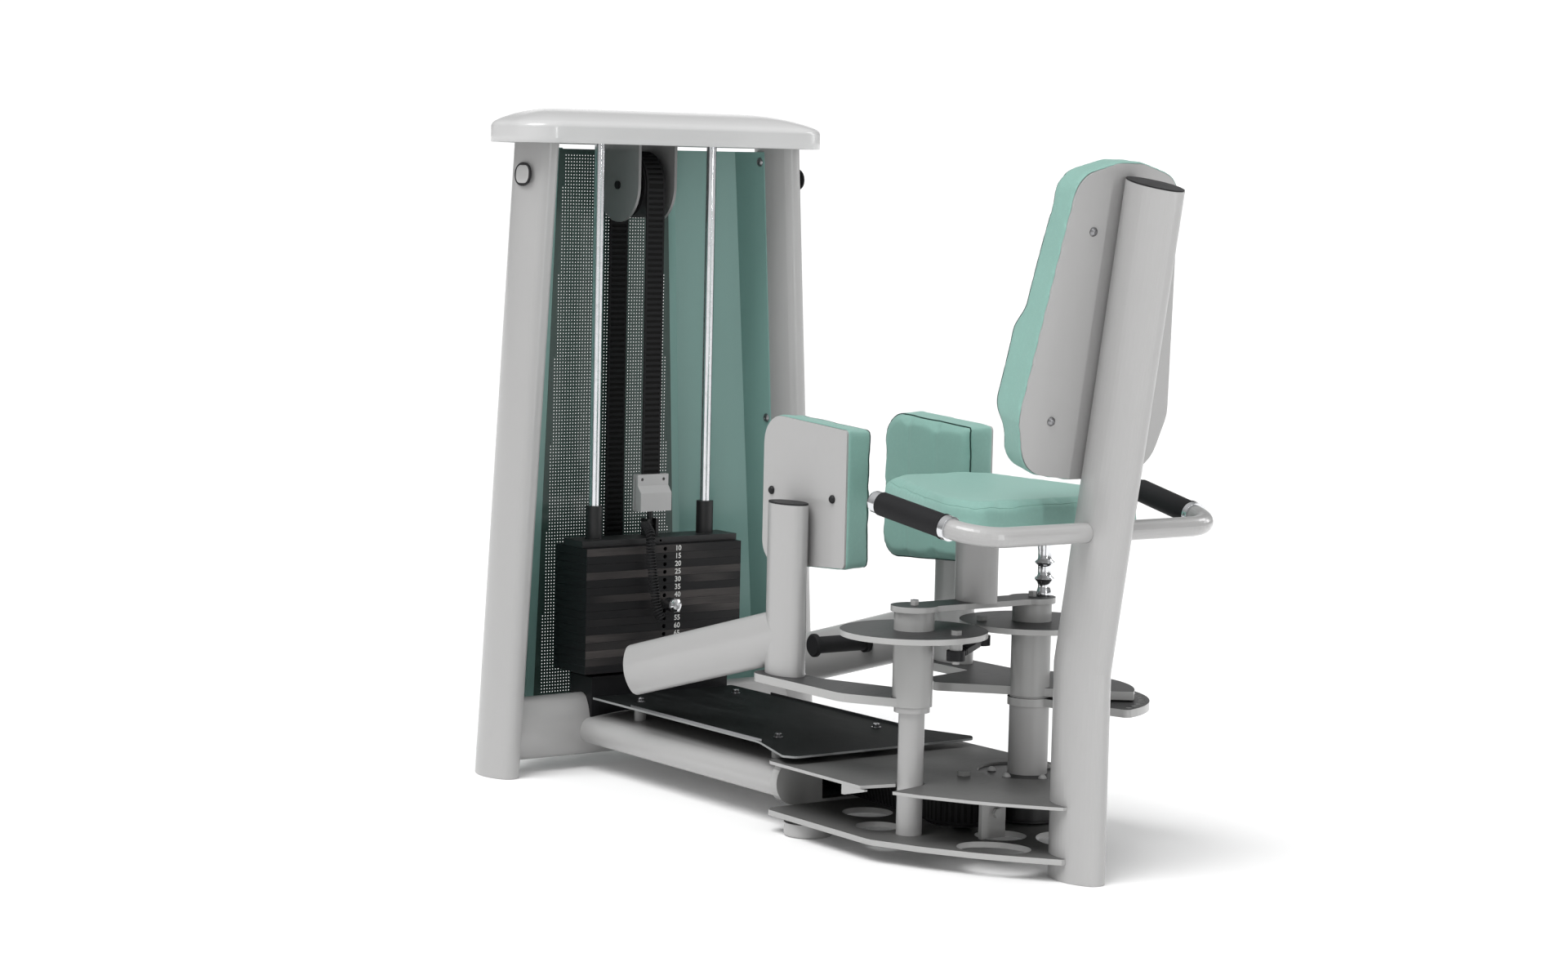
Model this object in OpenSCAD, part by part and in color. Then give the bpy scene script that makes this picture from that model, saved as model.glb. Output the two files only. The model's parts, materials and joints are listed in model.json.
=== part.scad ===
// Hip abductor machine: a selectorised gym machine with two swinging thigh pads.
// The back post stands at the rear, the weight tower at the front (+Y); +X is the user's right.

/* [Frame tubes] */
// Long side of the oval frame tube
tube_long = 122.6; // [100:0.1:140]
// Short side of the oval frame tube
tube_short = 66.2; // [55:0.1:75]
// Radius of the tube's narrow ends
tube_end_r = 22; // [18:0.5:26]
// Wall of every frame tube
tube_wall = 3.5; // [2:0.5:5]

/* [Back post] */
// Height at which the back post starts to lean
post_knee_z = 360; // [300:5:400]
// Lean of the post's upper part
post_lean = 10; // [6:0.5:12]
// Length of the leaning part
post_upper_len = 812; // [760:1:860]

/* [Weight tower] */
// Distance from the back post's foot to the tower posts
tower_y = 1299.4; // [1260:0.1:1340]
// Half distance between the tower posts at the floor
tower_foot_x = 349.7; // [335:0.1:365]
// Inward lean of the tower posts
tower_lean = 3.26; // [2:0.01:4]
// Height of the tower posts
tower_h = 1214; // [1150:1:1260]
// Underside of the cross beam
cross_beam_z = 24; // [15:1:40]
// Height of the cover's straight lip
cover_lip = 31; // [25:1:40]
// Crown of the cover across its width
cover_crown = 36; // [25:1:45]
// Half width of the cover
cover_half_w = 350; // [340:1:365]
// Depth of the cover behind the tower posts
cover_near = 99; // [85:1:110]
// Depth of the cover in front of the tower posts
cover_far = 188; // [180:1:205]
// Wall of the cover
cover_wall = 4; // [3:0.5:6]

/* [Guard panels] */
// Thickness of the sheet
sheet_t = 2; // [1.5:0.5:3]
// Lower edge of the panels
guard_z = 107; // [95:1:150]
// Gap between the panels and the cover
guard_gap = 9; // [5:1:15]
// Distance from the tower posts to the centre panel
guard_y = 166; // [155:1:175]
// Half width of the perforated panel at its foot
guard_foot_w = 169; // [150:1:180]
// Half width of the perforated panel at its top
guard_top_w = 128; // [115:1:140]
// Distance from the tower posts to the flange's crease
guard_crease_y = 81; // [70:1:95]

/* [Weight stack] */
// Width of a weight plate
plate_w = 362.8; // [340:0.1:380]
// Depth of a weight plate
plate_d = 113.8; // [100:0.1:125]
// Distance from plate to plate
plate_pitch = 15.33; // [14:0.01:17]
// Plates in the stack
plate_count = 16; // [12:1:18]
// Plates above the selector pin
lifted_count = 8; // [4:1:10]
// Gap between neighbouring plates
plate_gap = 0.3; // [0.2:0.1:0.8]
// Underside of the lowest plate
stack_z = 187.4; // [180:0.1:200]
// Distance from the tower posts' axis to the stack's axis
stack_dy = 11.4; // [8:0.1:15]
// Half distance between the guide rods
rod_x = 130.9; // [120:0.1:140]
// Diameter of the guide rods
rod_d = 20; // [16:1:24]
// Diameter of the selector stem
stem_d = 22; // [18:1:26]
// Diameter of the selector pin
pin_d = 8; // [7:0.5:10]
// Radial running clearance of the sliding pieces
slide_fit = 0.08; // [0.05:0.01:0.1]

/* [Belt and pulleys] */
// Width of the belt
belt_w = 42; // [36:1:46]
// Thickness of the belt
belt_t = 3; // [2:0.5:4]
// Clearance between the belt and what turns under it
belt_clear = 0.3; // [0.2:0.1:0.6]
// Radius of the top pulley
top_pulley_r = 63.5; // [55:0.5:68]
// Radius of the pulley at the tower's foot
base_pulley_r = 40; // [35:0.5:44]
// Radius of the idler under the seat
idler_r = 62; // [55:0.5:64]
// Radius of the drum on the drive shaft
drum_r = 56; // [50:0.5:60]
// Distance of the top pulley's axle below the tower's top
pulley_drop = 80; // [69:1:104]
// Distance from the back post to the idler's axle
idler_y = 305; // [300:1:312]

/* [Base] */
// Distance from the back post to the front edge of the base plates
base_front = 600; // [585:1:620]
// Half width of the base plates
base_half_w = 220; // [210:1:230]
// Height of the lower base plate's underside
base_z = 30; // [24:1:34]
// Thickness of the lower base plate
lower_plate_t = 10; // [8:1:12]
// Clear height between the base plates
base_gap = 82; // [78:1:90]
// Thickness of the upper base plate
upper_plate_t = 5.6; // [5:0.1:8]
// Radius of the round feet
foot_r = 44; // [35:1:50]
// Width of the flat oval central beam
beam_w = 366; // [350:1:410]
// Height of the central beam
beam_h = 72; // [66:1:76]
// Radius of the hole round the drive hub
hub_hole_r = 88; // [86:1:92]

/* [Foot plate] */
// Half width of the foot plate
tread_half_w = 165; // [150:1:180]
// Half width of the foot plate at its flared rear
tread_flare_w = 212; // [200:1:225]
// Thickness of the foot plate
tread_t = 4; // [3:0.5:6]
// Height of the foot plate's underside
tread_z = 139; // [137:1:145]
// Distance from the back post to the foot plate's rear edge
tread_rear = 527; // [515:1:540]
// Diameter of the stand-offs
standoff_d = 23; // [18:1:28]

/* [Arm pivots] */
// Half distance between the two arm pivots
pivot_x = 130.8; // [128:0.1:134]
// Distance from the back post to the pivots
pivot_y = 289.2; // [280:0.1:300]
// Outer radius of the arm sleeves
sleeve_r = 34.8; // [32:0.1:38]
// Radius of the fixed pivot shafts
shaft_r = 22.5; // [20:0.5:25]
// Outer radius of the drive tube
drive_r = 35; // [32:0.5:38]
// Underside of the arm plates
arm_z = 263; // [262:0.5:270]
// Thickness of the arm plates
arm_t = 15; // [12:0.5:18]
// Height of the linkage discs
disc_z = 384.4; // [380:0.1:390]
// Radius of the linkage discs
disc_r = 127; // [118:0.5:128]
// Thickness of the discs and of the link plate
disc_t = 10; // [8:0.5:12]
// Height of the collars above the discs
collar_h = 32.2; // [28:0.1:36]
// Radius at which the linkage rod's pins sit
link_pin_r = 90; // [80:1:100]
// Angle of the left pin about its pivot
left_pin_a = -75; // [-80:1:-70]
// Angle of the right pin about its pivot
right_pin_a = 155; // [150:1:160]
// Running clearance at the shafts
shaft_fit = 0.08; // [0.05:0.01:0.1]
// Radius of the toothed sector on the drive tube
sector_r = 210; // [205:1:216]
// Radius of the sector's hole circle
sector_hole_r = 197; // [194:1:200]
// Thickness of the sector
sector_t = 14; // [10:1:15]

/* [Thigh pads] */
// Long side of the pad posts
pad_post_long = 96; // [85:0.5:105]
// Short side of the pad posts
pad_post_short = 54; // [48:0.5:60]
// Top of the pad posts
pad_post_top = 583; // [560:1:600]
// Length of the pad boards
pad_len = 248; // [230:1:260]
// Underside of the pad boards
pad_z = 465; // [455:1:480]
// Height of the pad boards
pad_h = 271; // [250:1:285]
// Thickness of the pad boards
pad_board_t = 10; // [8:1:14]
// Thickness of the pad cushions
pad_cushion_t = 48; // [40:1:56]
// How far the cushions overhang their boards
overhang = 3.5; // [2:0.5:6]

/* [Leg tubes] */
// Height of the leg tube's axis at the pad post
leg_z = 348; // [342:1:356]
// Slope of the leg tubes
leg_drop = 15; // [12:0.5:18]
// Outward turn of the leg tubes
leg_turn = 2; // [0:0.5:4]
// Length of the leg tubes
leg_len = 477; // [420:1:500]
// Diameter of the foot pegs
peg_d = 32; // [28:1:38]
// Length of the foot pegs
peg_len = 118; // [100:1:125]

/* [Seat and back] */
// Height of the seat board's underside
seat_z = 575; // [565:1:585]
// Slope of the seat
seat_tilt = 2.4; // [0:0.1:5]
// Half width of the seat at its rear
seat_rear_w = 206; // [190:1:215]
// Half width of the seat at its front
seat_front_w = 112; // [100:1:125]
// Length of the seat
seat_len = 370; // [350:1:385]
// Distance from the back post to the seat's rear edge
seat_rear = 66; // [64:1:76]
// Thickness of the seat and back boards
board_t = 12; // [9:1:15]
// Thickness of the seat cushion
seat_cushion_t = 48; // [40:1:56]
// Height of the back board along the post
back_len = 528; // [500:1:550]
// Half width of the back board
back_half_w = 160; // [150:1:170]
// Place of the back board's lower edge along the post
back_low = 307; // [300:1:320]
// Thickness of the back cushion
back_cushion_t = 50; // [40:1:60]
// Extra thickness of the lumbar bulge
lumbar = 18; // [0:1:25]

/* [Handles] */
// Diameter of the handle tube
handle_d = 33.7; // [30:0.1:38]
// Height of the handle tube at the post
handle_z = 589; // [580:1:600]
// Upward tilt of the handles
handle_tilt = 9.5; // [6:0.5:12]
// Half width of the handle at its corner
handle_half_w = 259; // [245:1:270]
// Bend radius of the handle
handle_bend_r = 70; // [60:1:75]
// Outward turn of the grips
handle_turn = 6.7; // [3:0.1:9]
// Length of a rubber grip
grip_len = 150; // [130:1:170]
// Diameter of a grip
grip_d = 40; // [38:0.5:44]

/* [Hidden] */

eps = 0.01;
big = 2000;
fn_round = 64;

// the stack's places
stack_y = tower_y + stack_dy;
stack_top = stack_z + plate_count * plate_pitch;
plate_t = plate_pitch - plate_gap;
resting_count = plate_count - lifted_count;
pin_z = stack_z + resting_count * plate_pitch + plate_t / 2;
head_z = stack_top + 0.2;
head_t = 13;
bushing_r = 17;
bushing_h = 64;
fork_z = head_z + head_t;
clamp_z = fork_z + 50;
clamp_h = 72;
clamp_w = 72;

// the belt's places
belt_clear_r = belt_clear + belt_t / 2;
top_pulley_z = tower_h - pulley_drop;
top_pulley_y = stack_y + top_pulley_r + belt_clear_r;
rear_strand_y = top_pulley_y + top_pulley_r + belt_clear_r;
base_pulley_y = rear_strand_y - base_pulley_r - belt_clear_r;
beam_z = base_z + lower_plate_t + base_gap / 2 - 5;
belt_z = beam_z - 3;
base_pulley_z = belt_z + base_pulley_r + belt_clear_r;
idler_belt_r = idler_r + belt_clear_r;
drum_belt_r = drum_r + belt_clear_r;

// the base's levels
lower_top = base_z + lower_plate_t;
upper_z = lower_top + base_gap;
upper_top = upper_z + upper_plate_t;
flange_t = 20;
beam_y0 = base_front + flange_t;

// the pivots' levels
link_plate_z = disc_z + disc_t + collar_h;
link_plate_top = link_plate_z + disc_t;
left_pivot = [-pivot_x, pivot_y];
right_pivot = [pivot_x, pivot_y];
left_pin = left_pivot + link_pin_r * [cos(left_pin_a), sin(left_pin_a)];
right_pin = right_pivot + link_pin_r * [cos(right_pin_a), sin(right_pin_a)];
rod_eye_t = 18;
rod_z = disc_z - 16 - rod_eye_t;
sector_z = arm_z - 3 - sector_t;
start_pin_a = 50;
start_pin_xy = right_pivot + sector_hole_r * [cos(start_pin_a), sin(start_pin_a)];

// the pads' places
left_post = [-175, 602];
right_post = [196, 588];
left_pad_rear = 470;
right_pad_rear = 456;

// the overall frame: the origin lies under the middle of the machine
post_top_y = -post_upper_len * sin(post_lean);
rear_y = post_top_y - tube_long / 2 * cos(post_lean);
front_y = tower_y + cover_far;
mid_y = (rear_y + front_y) / 2;

steel = [0.78, 0.77, 0.76];
grey = [0.55, 0.56, 0.56];
black = [0.08, 0.08, 0.09];
chrome = [0.85, 0.86, 0.88];
mint = [0.56, 0.73, 0.68];
teal = [0.36, 0.50, 0.48];

// ---------- helpers ----------

// moves a piece from the back post's foot to the machine's own origin
module in_frame() {
  translate([0, -mid_y, 0])
    children();
}

function unit(v) = v / norm(v);

// points of one rounded corner at b, between a and c
function corner(a, b, c, r) =
  let (
    u = unit(a - b),
    v = unit(c - b),
    half = acos(max(-1, min(1, u * v))) / 2,
    centre = b + unit(u + v) * r / sin(half),
    from = b + u * r / tan(half) - centre,
    to = b + v * r / tan(half) - centre,
    a0 = atan2(from[1], from[0]),
    turn = atan2(to[1], to[0]) - a0,
    sweep = turn > 180 ? turn - 360 : turn < -180 ? turn + 360 : turn,
    steps = max(1, ceil(abs(sweep) / 12))
  )
  r < eps ? [b] : [for (i = [0 : steps]) centre + r * [cos(a0 + sweep * i / steps), sin(a0 + sweep * i / steps)]];

// outline through corners given as [x, y, radius]
function rounded(c) = [
  for (i = [0 : len(c) - 1])
    let (
      n = len(c),
      p = c[(i + n - 1) % n],
      q = c[i],
      s = c[(i + 1) % n]
    )
    each corner([p[0], p[1]], [q[0], q[1]], [s[0], s[1]], q[2])
];

// points of an arc
function arc(centre, r, a0, a1, steps) =
  [for (i = [0 : steps]) centre + r * [cos(a0 + (a1 - a0) * i / steps), sin(a0 + (a1 - a0) * i / steps)]];

// four-arc oval: long along x, short along y, narrow ends of radius end_r
module oval(long, short, end_r) {
  a = long / 2;
  b = short / 2;
  side_r = (pow(a - end_r, 2) + b * b - end_r * end_r) / (2 * (b - end_r));
  meet = (a - end_r) * side_r / (side_r - end_r);
  for (s = [-1, 1])
    translate([s * (a - end_r), 0])
      circle(r = end_r, $fn = fn_round);
  intersection() {
    square([2 * meet, short], center = true);
    translate([0, side_r - b])
      circle(r = side_r, $fn = fn_round);
    translate([0, b - side_r])
      circle(r = side_r, $fn = fn_round);
  }
}

// points of an arc without its two ends
function open_arc(centre, r, a0, a1, steps) =
  [for (i = [1 : steps - 1]) centre + r * [cos(a0 + (a1 - a0) * i / steps), sin(a0 + (a1 - a0) * i / steps)]];

// the same oval as a list of points, long along y
function oval_points(long, short, end_r) =
  let (
    a = long / 2,
    b = short / 2,
    side_r = (pow(a - end_r, 2) + b * b - end_r * end_r) / (2 * (b - end_r)),
    split = atan2(a - end_r, side_r - b)
  )
  concat(
    arc([b - side_r, 0], side_r, -split, split, 12),
    open_arc([0, a - end_r], end_r, split, 180 - split, 10),
    arc([side_r - b, 0], side_r, 180 - split, 180 + split, 12),
    open_arc([0, end_r - a], end_r, 180 + split, 360 - split, 10)
  );

// closed skin over a row of rings with equally many points, each running
// anticlockwise seen from the last ring
module skin(rings) {
  m = len(rings[0]);
  last = (len(rings) - 1) * m;
  walls = [
    for (i = [0 : len(rings) - 2], k = [0 : m - 1])
      let (
        a = i * m + k,
        b = i * m + (k + 1) % m
      )
      each [[b, a, a + m], [b, a + m, b + m]]
  ];
  polyhedron(
    [for (ring = rings) each ring],
    concat(walls, [[for (k = [0 : m - 1]) k]], [[for (k = [m - 1 : -1 : 0]) last + k]])
  );
}

// round tube swept along a list of points; ref is never along the route
module swept_tube(points, d, sides, ref) {
  n = len(points);
  skin([
    for (i = [0 : n - 1])
      let (
        dir = unit(points[min(n - 1, i + 1)] - points[max(0, i - 1)]),
        side = unit(cross(dir, ref)),
        up = cross(dir, side)
      )
      [for (k = [0 : sides - 1]) points[i] + d / 2 * (cos(360 * k / sides) * side + sin(360 * k / sides) * up)]
  ]);
}

// section of the frame's oval tube, long along y
module tube_section(inset = 0) {
  rotate(90)
    oval(tube_long - 2 * inset, tube_short - 2 * inset, tube_end_r - inset);
}

// section of a pad post or seat column, long along y
module small_section(inset = 0) {
  rotate(90)
    oval(pad_post_long - 2 * inset, pad_post_short - 2 * inset, 19 - inset);
}

module small_wall_section() {
  difference() {
    small_section();
    small_section(3);
  }
}

module rod(d, h) {
  cylinder(d = d, h = h, $fn = fn_round);
}

// flat plate from an outline
module slab(points, t) {
  linear_extrude(t)
    polygon(points);
}

// ---------- back post ----------

// the post's two straight parts, mitred at the knee
module post_solid(inset = 0, past = 0) {
  outline = oval_points(tube_long - 2 * inset, tube_short - 2 * inset, tube_end_r - inset);
  top = post_upper_len + past;
  skin([
    [for (p = outline) [p[0], p[1], -past]],
    [for (p = outline) [p[0], p[1], post_knee_z + p[1] * tan(post_lean / 2)]],
    [for (p = outline) [
      p[0],
      p[1] * cos(post_lean) - top * sin(post_lean),
      post_knee_z + p[1] * sin(post_lean) + top * cos(post_lean)
    ]],
  ]);
}

// places children on the leaning part, at a distance along it
module on_lean(along = 0) {
  translate([0, 0, post_knee_z])
    rotate([post_lean, 0, 0])
      translate([0, 0, along])
        children();
}

module handle_hole(clear) {
  translate([0, handle_y, handle_z])
    rotate([0, 90, 0])
      cylinder(d = handle_d + 2 * clear, h = tube_short * 2, center = true, $fn = fn_round);
}

handle_y = -(handle_z - post_knee_z) * tan(post_lean) + 4;

module back_post() {
  color(steel)
    in_frame()
      difference() {
        post_solid();
        post_solid(tube_wall, 1);
        handle_hole(0.1);
      }
}

// the back post's end cap and the blank oval badges on the tower posts
module post_trim() {
  badge_z = 1150;
  color(black)
    in_frame() {
      on_lean(post_upper_len) {
        translate([0, 0, 0.1])
          linear_extrude(2.4)
            tube_section(0.5);
        translate([0, 0, -18])
          linear_extrude(18.2)
            difference() {
              tube_section(tube_wall + 0.4);
              tube_section(tube_wall + 3);
            }
      }
      for (s = [-1, 1])
        translate([s * tower_foot_x, tower_y, 0])
          rotate([0, -s * tower_lean, 0])
            translate([s * (tube_short / 2 + 0.1), -14, badge_z / cos(tower_lean)])
              rotate([90, 0, 90])
                mirror([0, 0, s > 0 ? 0 : 1])
                  linear_extrude(3)
                    oval(57, 45, 20);
    }
}

// ---------- base ----------

// one side of the base plates' outline, from the front to the back post
base_side = [
  [base_half_w - 4, base_front, 22],
  [base_half_w, 285, 60],
  [198, 234, 20],
  [183, 196, 40],
  [137, 114, 40],
  [105, 68, 40],
  [54, 5, 20],
  [41, -10, 0],
];

function base_outline() = rounded(concat(
  base_side,
  [for (i = [len(base_side) - 1 : -1 : 0]) [-base_side[i][0], base_side[i][1], base_side[i][2]]]
));

module base_section() {
  difference() {
    polygon(base_outline());
    tube_section(-0.1);
  }
}

module lower_base_plate() {
  color(grey)
    in_frame()
      translate([0, 0, base_z])
        difference() {
          linear_extrude(lower_plate_t)
            base_section();
          translate([0, 0, -1])
            linear_extrude(lower_plate_t + 2) {
              for (s = [-1, 1]) {
                translate([s * 78, 123])
                  rotate(s * 55)
                    oval(128, 98, 44);
                translate([s * 135, 370])
                  circle(r = 40, $fn = fn_round);
                translate([s * 75, 480])
                  circle(r = 45, $fn = fn_round);
              }
              translate([0, 200])
                circle(r = 45, $fn = fn_round);
            }
        }
}

notch = [
  [-base_half_w - 20, 322, 0],
  [-base_half_w + 4, 313, 0],
  [-118, 290, 14],
  [-118, 266, 14],
  [-205, 244, 0],
  [-base_half_w - 20, 240, 0],
];

module upper_base_plate() {
  color(grey)
    in_frame() {
      translate([0, 0, upper_z])
        difference() {
          linear_extrude(upper_plate_t)
            base_section();
          translate([0, 0, -1]) {
            linear_extrude(upper_plate_t + 2) {
              polygon(rounded(notch));
              translate(left_pivot)
                circle(r = shaft_r + 3, $fn = fn_round);
            }
            translate(right_pivot)
              cylinder(r = hub_hole_r, h = upper_plate_t + 2, $fn = 96);
          }
        }
      // the tab bent down at the left edge
      translate([1 - base_half_w, 301, upper_z])
        rotate([90, 0, 90])
          linear_extrude(upper_plate_t)
            polygon([[0, 0], [66, 0], [66, -17], [58, -17], [0, -3]]);
    }
}

// outline of the beam's section, long along x
module beam_section(inset = 0) {
  oval(beam_w - 2 * inset, beam_h - 2 * inset, 26 - inset);
}

module beam_flange() {
  half_w = beam_w / 2 + 6;
  color(grey)
    in_frame()
      translate([0, beam_y0, 0])
        rotate([90, 0, 0])
          linear_extrude(flange_t - 0.1)
            difference() {
              polygon(rounded([
                [half_w, lower_top, 40],
                [half_w, upper_z, 40],
                [-half_w, upper_z, 40],
                [-half_w, lower_top, 40],
              ]));
              translate([-25, belt_z])
                square([2 * belt_w + 40, 56], center = true);
            }
}

// a section drawn out along the central beam
module along_beam() {
  beam_y1 = tower_y - tube_short / 2 + 6;
  translate([0, beam_y1, beam_z])
    rotate([90, 0, 0])
      linear_extrude(beam_y1 - beam_y0)
        children();
}

module central_beam() {
  color(steel)
    in_frame()
      difference() {
        along_beam()
          difference() {
            beam_section();
            beam_section(tube_wall);
          }
        cross_beam_solid(0.1);
      }
}

module cross_beam_solid(grow = 0) {
  translate([-big / 2, tower_y, cross_beam_z + tube_long / 2])
    rotate([90, 0, 90])
      linear_extrude(big)
        oval_upright(grow);
}

module oval_upright(grow = 0) {
  rotate(90)
    oval(tube_long + 2 * grow, tube_short + 2 * grow, tube_end_r + grow);
}

module base_feet() {
  color(black)
    in_frame()
      for (s = [-1, 1])
        translate([s * 168, base_front - 70, 0]) {
          cylinder(r1 = foot_r - 3, r2 = foot_r, h = 3, $fn = fn_round);
          translate([0, 0, 3])
            cylinder(r = foot_r, h = base_z - 9, $fn = fn_round);
          translate([0, 0, base_z - 6])
            cylinder(r = foot_r - 14, h = 6, $fn = fn_round);
        }
}

// ---------- tower ----------

// a tower post's full solid, cut level at the floor and at its top
module tower_post_solid(side, inset = 0, above = 0) {
  intersection() {
    translate([side * tower_foot_x, tower_y, 0])
      rotate([0, -side * tower_lean, 0])
        translate([0, 0, -50])
          linear_extrude(tower_h + 150)
            tube_section(inset);
    translate([-big / 2, 0, 0])
      cube([big, big, tower_h + above]);
  }
}

module tower_post(side) {
  color(steel)
    in_frame()
      difference() {
        tower_post_solid(side);
        difference() {
          tower_post_solid(side, tube_wall, 1);
          cube([big, 2 * big, 12], center = true);
        }
      }
}

module left_tower_post() {
  tower_post(-1);
}

module right_tower_post() {
  tower_post(1);
}

module tower_cross_beam() {
  color(steel)
    in_frame()
      difference() {
        translate([-tower_foot_x, tower_y, cross_beam_z + tube_long / 2])
          rotate([90, 0, 90])
            linear_extrude(2 * tower_foot_x)
              difference() {
                oval_upright();
                oval_upright(-tube_wall);
              }
        tower_post_solid(-1, -0.05);
        tower_post_solid(1, -0.05);
        // notches for the feet of the guard's flanges
        for (s = [-1, 1])
          mirror([s < 0 ? 1 : 0, 0, 0])
            translate([flange_x(cross_beam_z + tube_long) - sheet_t / 2 - 0.5, tower_y - 6, guard_z - 1])
              cube([20, tube_short / 2 + 7, tube_short]);
        // slot that lets the belt into the central beam
        translate([0, tower_y, belt_z])
          cube([belt_w + 30, 2 * tube_short, 24], center = true);
      }
}

top_beam_half = tower_foot_x - tower_h * tan(tower_lean) + 20;
top_beam_h = 22;

module tower_top_beam() {
  color(steel)
    in_frame()
      difference() {
        translate([-top_beam_half, tower_y - 30, tower_h])
          cube([2 * top_beam_half, top_pulley_y - tower_y + 50, top_beam_h]);
        for (s = [-1, 1])
          translate([s * rod_x, stack_y, tower_h - 1])
            rod(rod_d + 0.2, 13);
      }
}

cover_outline = rounded([
  [-cover_half_w, tower_y - cover_near, 70],
  [cover_half_w, tower_y - cover_near, 70],
  [cover_half_w, tower_y + 65, 60],
  [guard_top_w + 82, front_y, 40],
  [-guard_top_w - 82, front_y, 40],
  [-cover_half_w, tower_y + 65, 60],
]);
cover_mid_y = tower_y + (cover_far - cover_near) / 2;
cover_half_d = (cover_far + cover_near) / 2;

// distance in from the lip and share of the crown's height
cover_profile = [[0, 0.05], [3, 0.16], [9, 0.3], [24, 0.5], [52, 0.73], [90, 0.92], [130, 1]];

// the cover's outline moved inwards, at a height
function cover_ring(in, z) = [
  for (p = cover_outline)
    [
      p[0] * (1 - in / cover_half_w),
      cover_mid_y + (p[1] - cover_mid_y) * (1 - in / cover_half_d),
      tower_h - 2 + z
    ]
];

// the domed block that makes the cover's outside or its hollow
module cover_block(wall) {
  skin(concat(
    [cover_ring(wall, wall > 0 ? -1 : 0), cover_ring(wall, cover_lip - 8)],
    [for (q = cover_profile) cover_ring(q[0] + wall, cover_lip + cover_crown * q[1] - wall)]
  ));
}

// the shell and the bosses that seat it on the top beam
module tower_cover() {
  color(steel)
    in_frame() {
      difference() {
        cover_block(0);
        cover_block(cover_wall);
      }
      for (x = [-250, -70, 70, 250], y = [tower_y - 10, top_pulley_y])
        intersection() {
          translate([x, y, tower_h + top_beam_h + 0.1])
            cylinder(r = 9, h = 60, $fn = 32);
          cover_block(cover_wall / 2);
        }
    }
}

// ---------- guard panels ----------

guard_top = tower_h - guard_gap;

// x of the tower post's inner face at a height
function post_inner_x(z) = tower_foot_x - z * tan(tower_lean) - tube_short / 2 / cos(tower_lean);

// half width of the perforated panel at a height
function guard_w(z) = guard_foot_w + (guard_top_w - guard_foot_w) * (z - guard_z) / (guard_top - guard_z);

// width of the bent strip beside the perforated panel
guard_strip = 17.5;
guard_lap = 8;

// a flat sheet with its middle plane through four corners, given in turn
module sheet_through(corners) {
  o = corners[0];
  across = unit(corners[1] - o);
  out = unit(cross(corners[1] - o, corners[3] - o));
  along = cross(out, across);
  multmatrix([
    [across[0], along[0], out[0], o[0]],
    [across[1], along[1], out[1], o[1]],
    [across[2], along[2], out[2], o[2]],
  ])
    translate([0, 0, -sheet_t / 2])
      linear_extrude(sheet_t)
        polygon([for (c = corners) [(c - o) * across, (c - o) * along]]);
}

// x of the side panel's flange and width of its slanting face at a height
function flange_x(z) = post_inner_x(z) - sheet_t / 2 - 0.2;
function slant_w(z) = flange_x(z) - guard_w(z) - guard_strip;

// line of the right side panel at a height: flange, crease, front corner, strip
function guard_line(z) = [
  [flange_x(z), tower_y - 4, z],
  [flange_x(z), tower_y + guard_y - (guard_y - guard_crease_y) * slant_w(z) / slant_w(guard_z), z],
  [guard_w(z) + guard_strip, tower_y + guard_y, z],
  [guard_w(z) - guard_lap, tower_y + guard_y, z],
];

module side_panel(side) {
  low = guard_line(guard_z);
  high = guard_line(guard_top);
  color(teal)
    in_frame()
      mirror([side < 0 ? 1 : 0, 0, 0])
        for (i = [0 : 2])
          sheet_through([low[i], low[i + 1], high[i + 1], high[i]]);
}

module left_side_panel() {
  side_panel(-1);
}

module right_side_panel() {
  side_panel(1);
}

module perforated_panel() {
  color(teal)
    in_frame()
      translate([0, tower_y + guard_y - sheet_t / 2 - 0.05, 0])
        rotate([90, 0, 0])
          linear_extrude(sheet_t)
            polygon([
              [-guard_foot_w, guard_z + 2],
              [guard_foot_w, guard_z + 2],
              [guard_top_w, guard_top - 2],
              [-guard_top_w, guard_top - 2],
            ]);
}

screw_heights = [guard_z + 64, guard_z + 565, guard_top - 20];

// ---------- weight stack ----------

module guide_rods() {
  color(chrome)
    in_frame()
      for (s = [-1, 1])
        translate([s * rod_x, stack_y, 160])
          rod(rod_d, tower_h + 10 - 160);
}

pedestal_top = stack_z - 6.6;

module stack_pedestal() {
  color(black)
    in_frame()
      difference() {
        union() {
          translate([0, tower_y + 41, 0])
            rotate([90, 0, 0])
              linear_extrude(78)
                polygon(rounded([
                  [-160, pedestal_top, 3],
                  [160, pedestal_top, 3],
                  [160, beam_z + 10, 3],
                  [-160, beam_z + 10, 3],
                ]));
          for (s = [-1, 1])
            translate([s * rod_x, stack_y, pedestal_top])
              cylinder(r = 22, h = stack_z - 0.1 - pedestal_top, $fn = fn_round);
        }
        cross_beam_solid(0.1);
        along_beam()
          beam_section(-0.1);
        // slots for the foot pulley's cheeks
        for (s = [-1, 1])
          translate([s * cheek_x - cheek_t / 2 - 0.1, tower_y - 20, 0])
            cube([cheek_t + 0.2, 80, base_pulley_z + 20.1]);
        for (s = [-1, 1])
          translate([s * rod_x, stack_y, 159])
            rod(rod_d + 0.1, 100);
        translate([0, stack_y, 150])
          rod(stem_d + 6, 100);
      }
}

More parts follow.
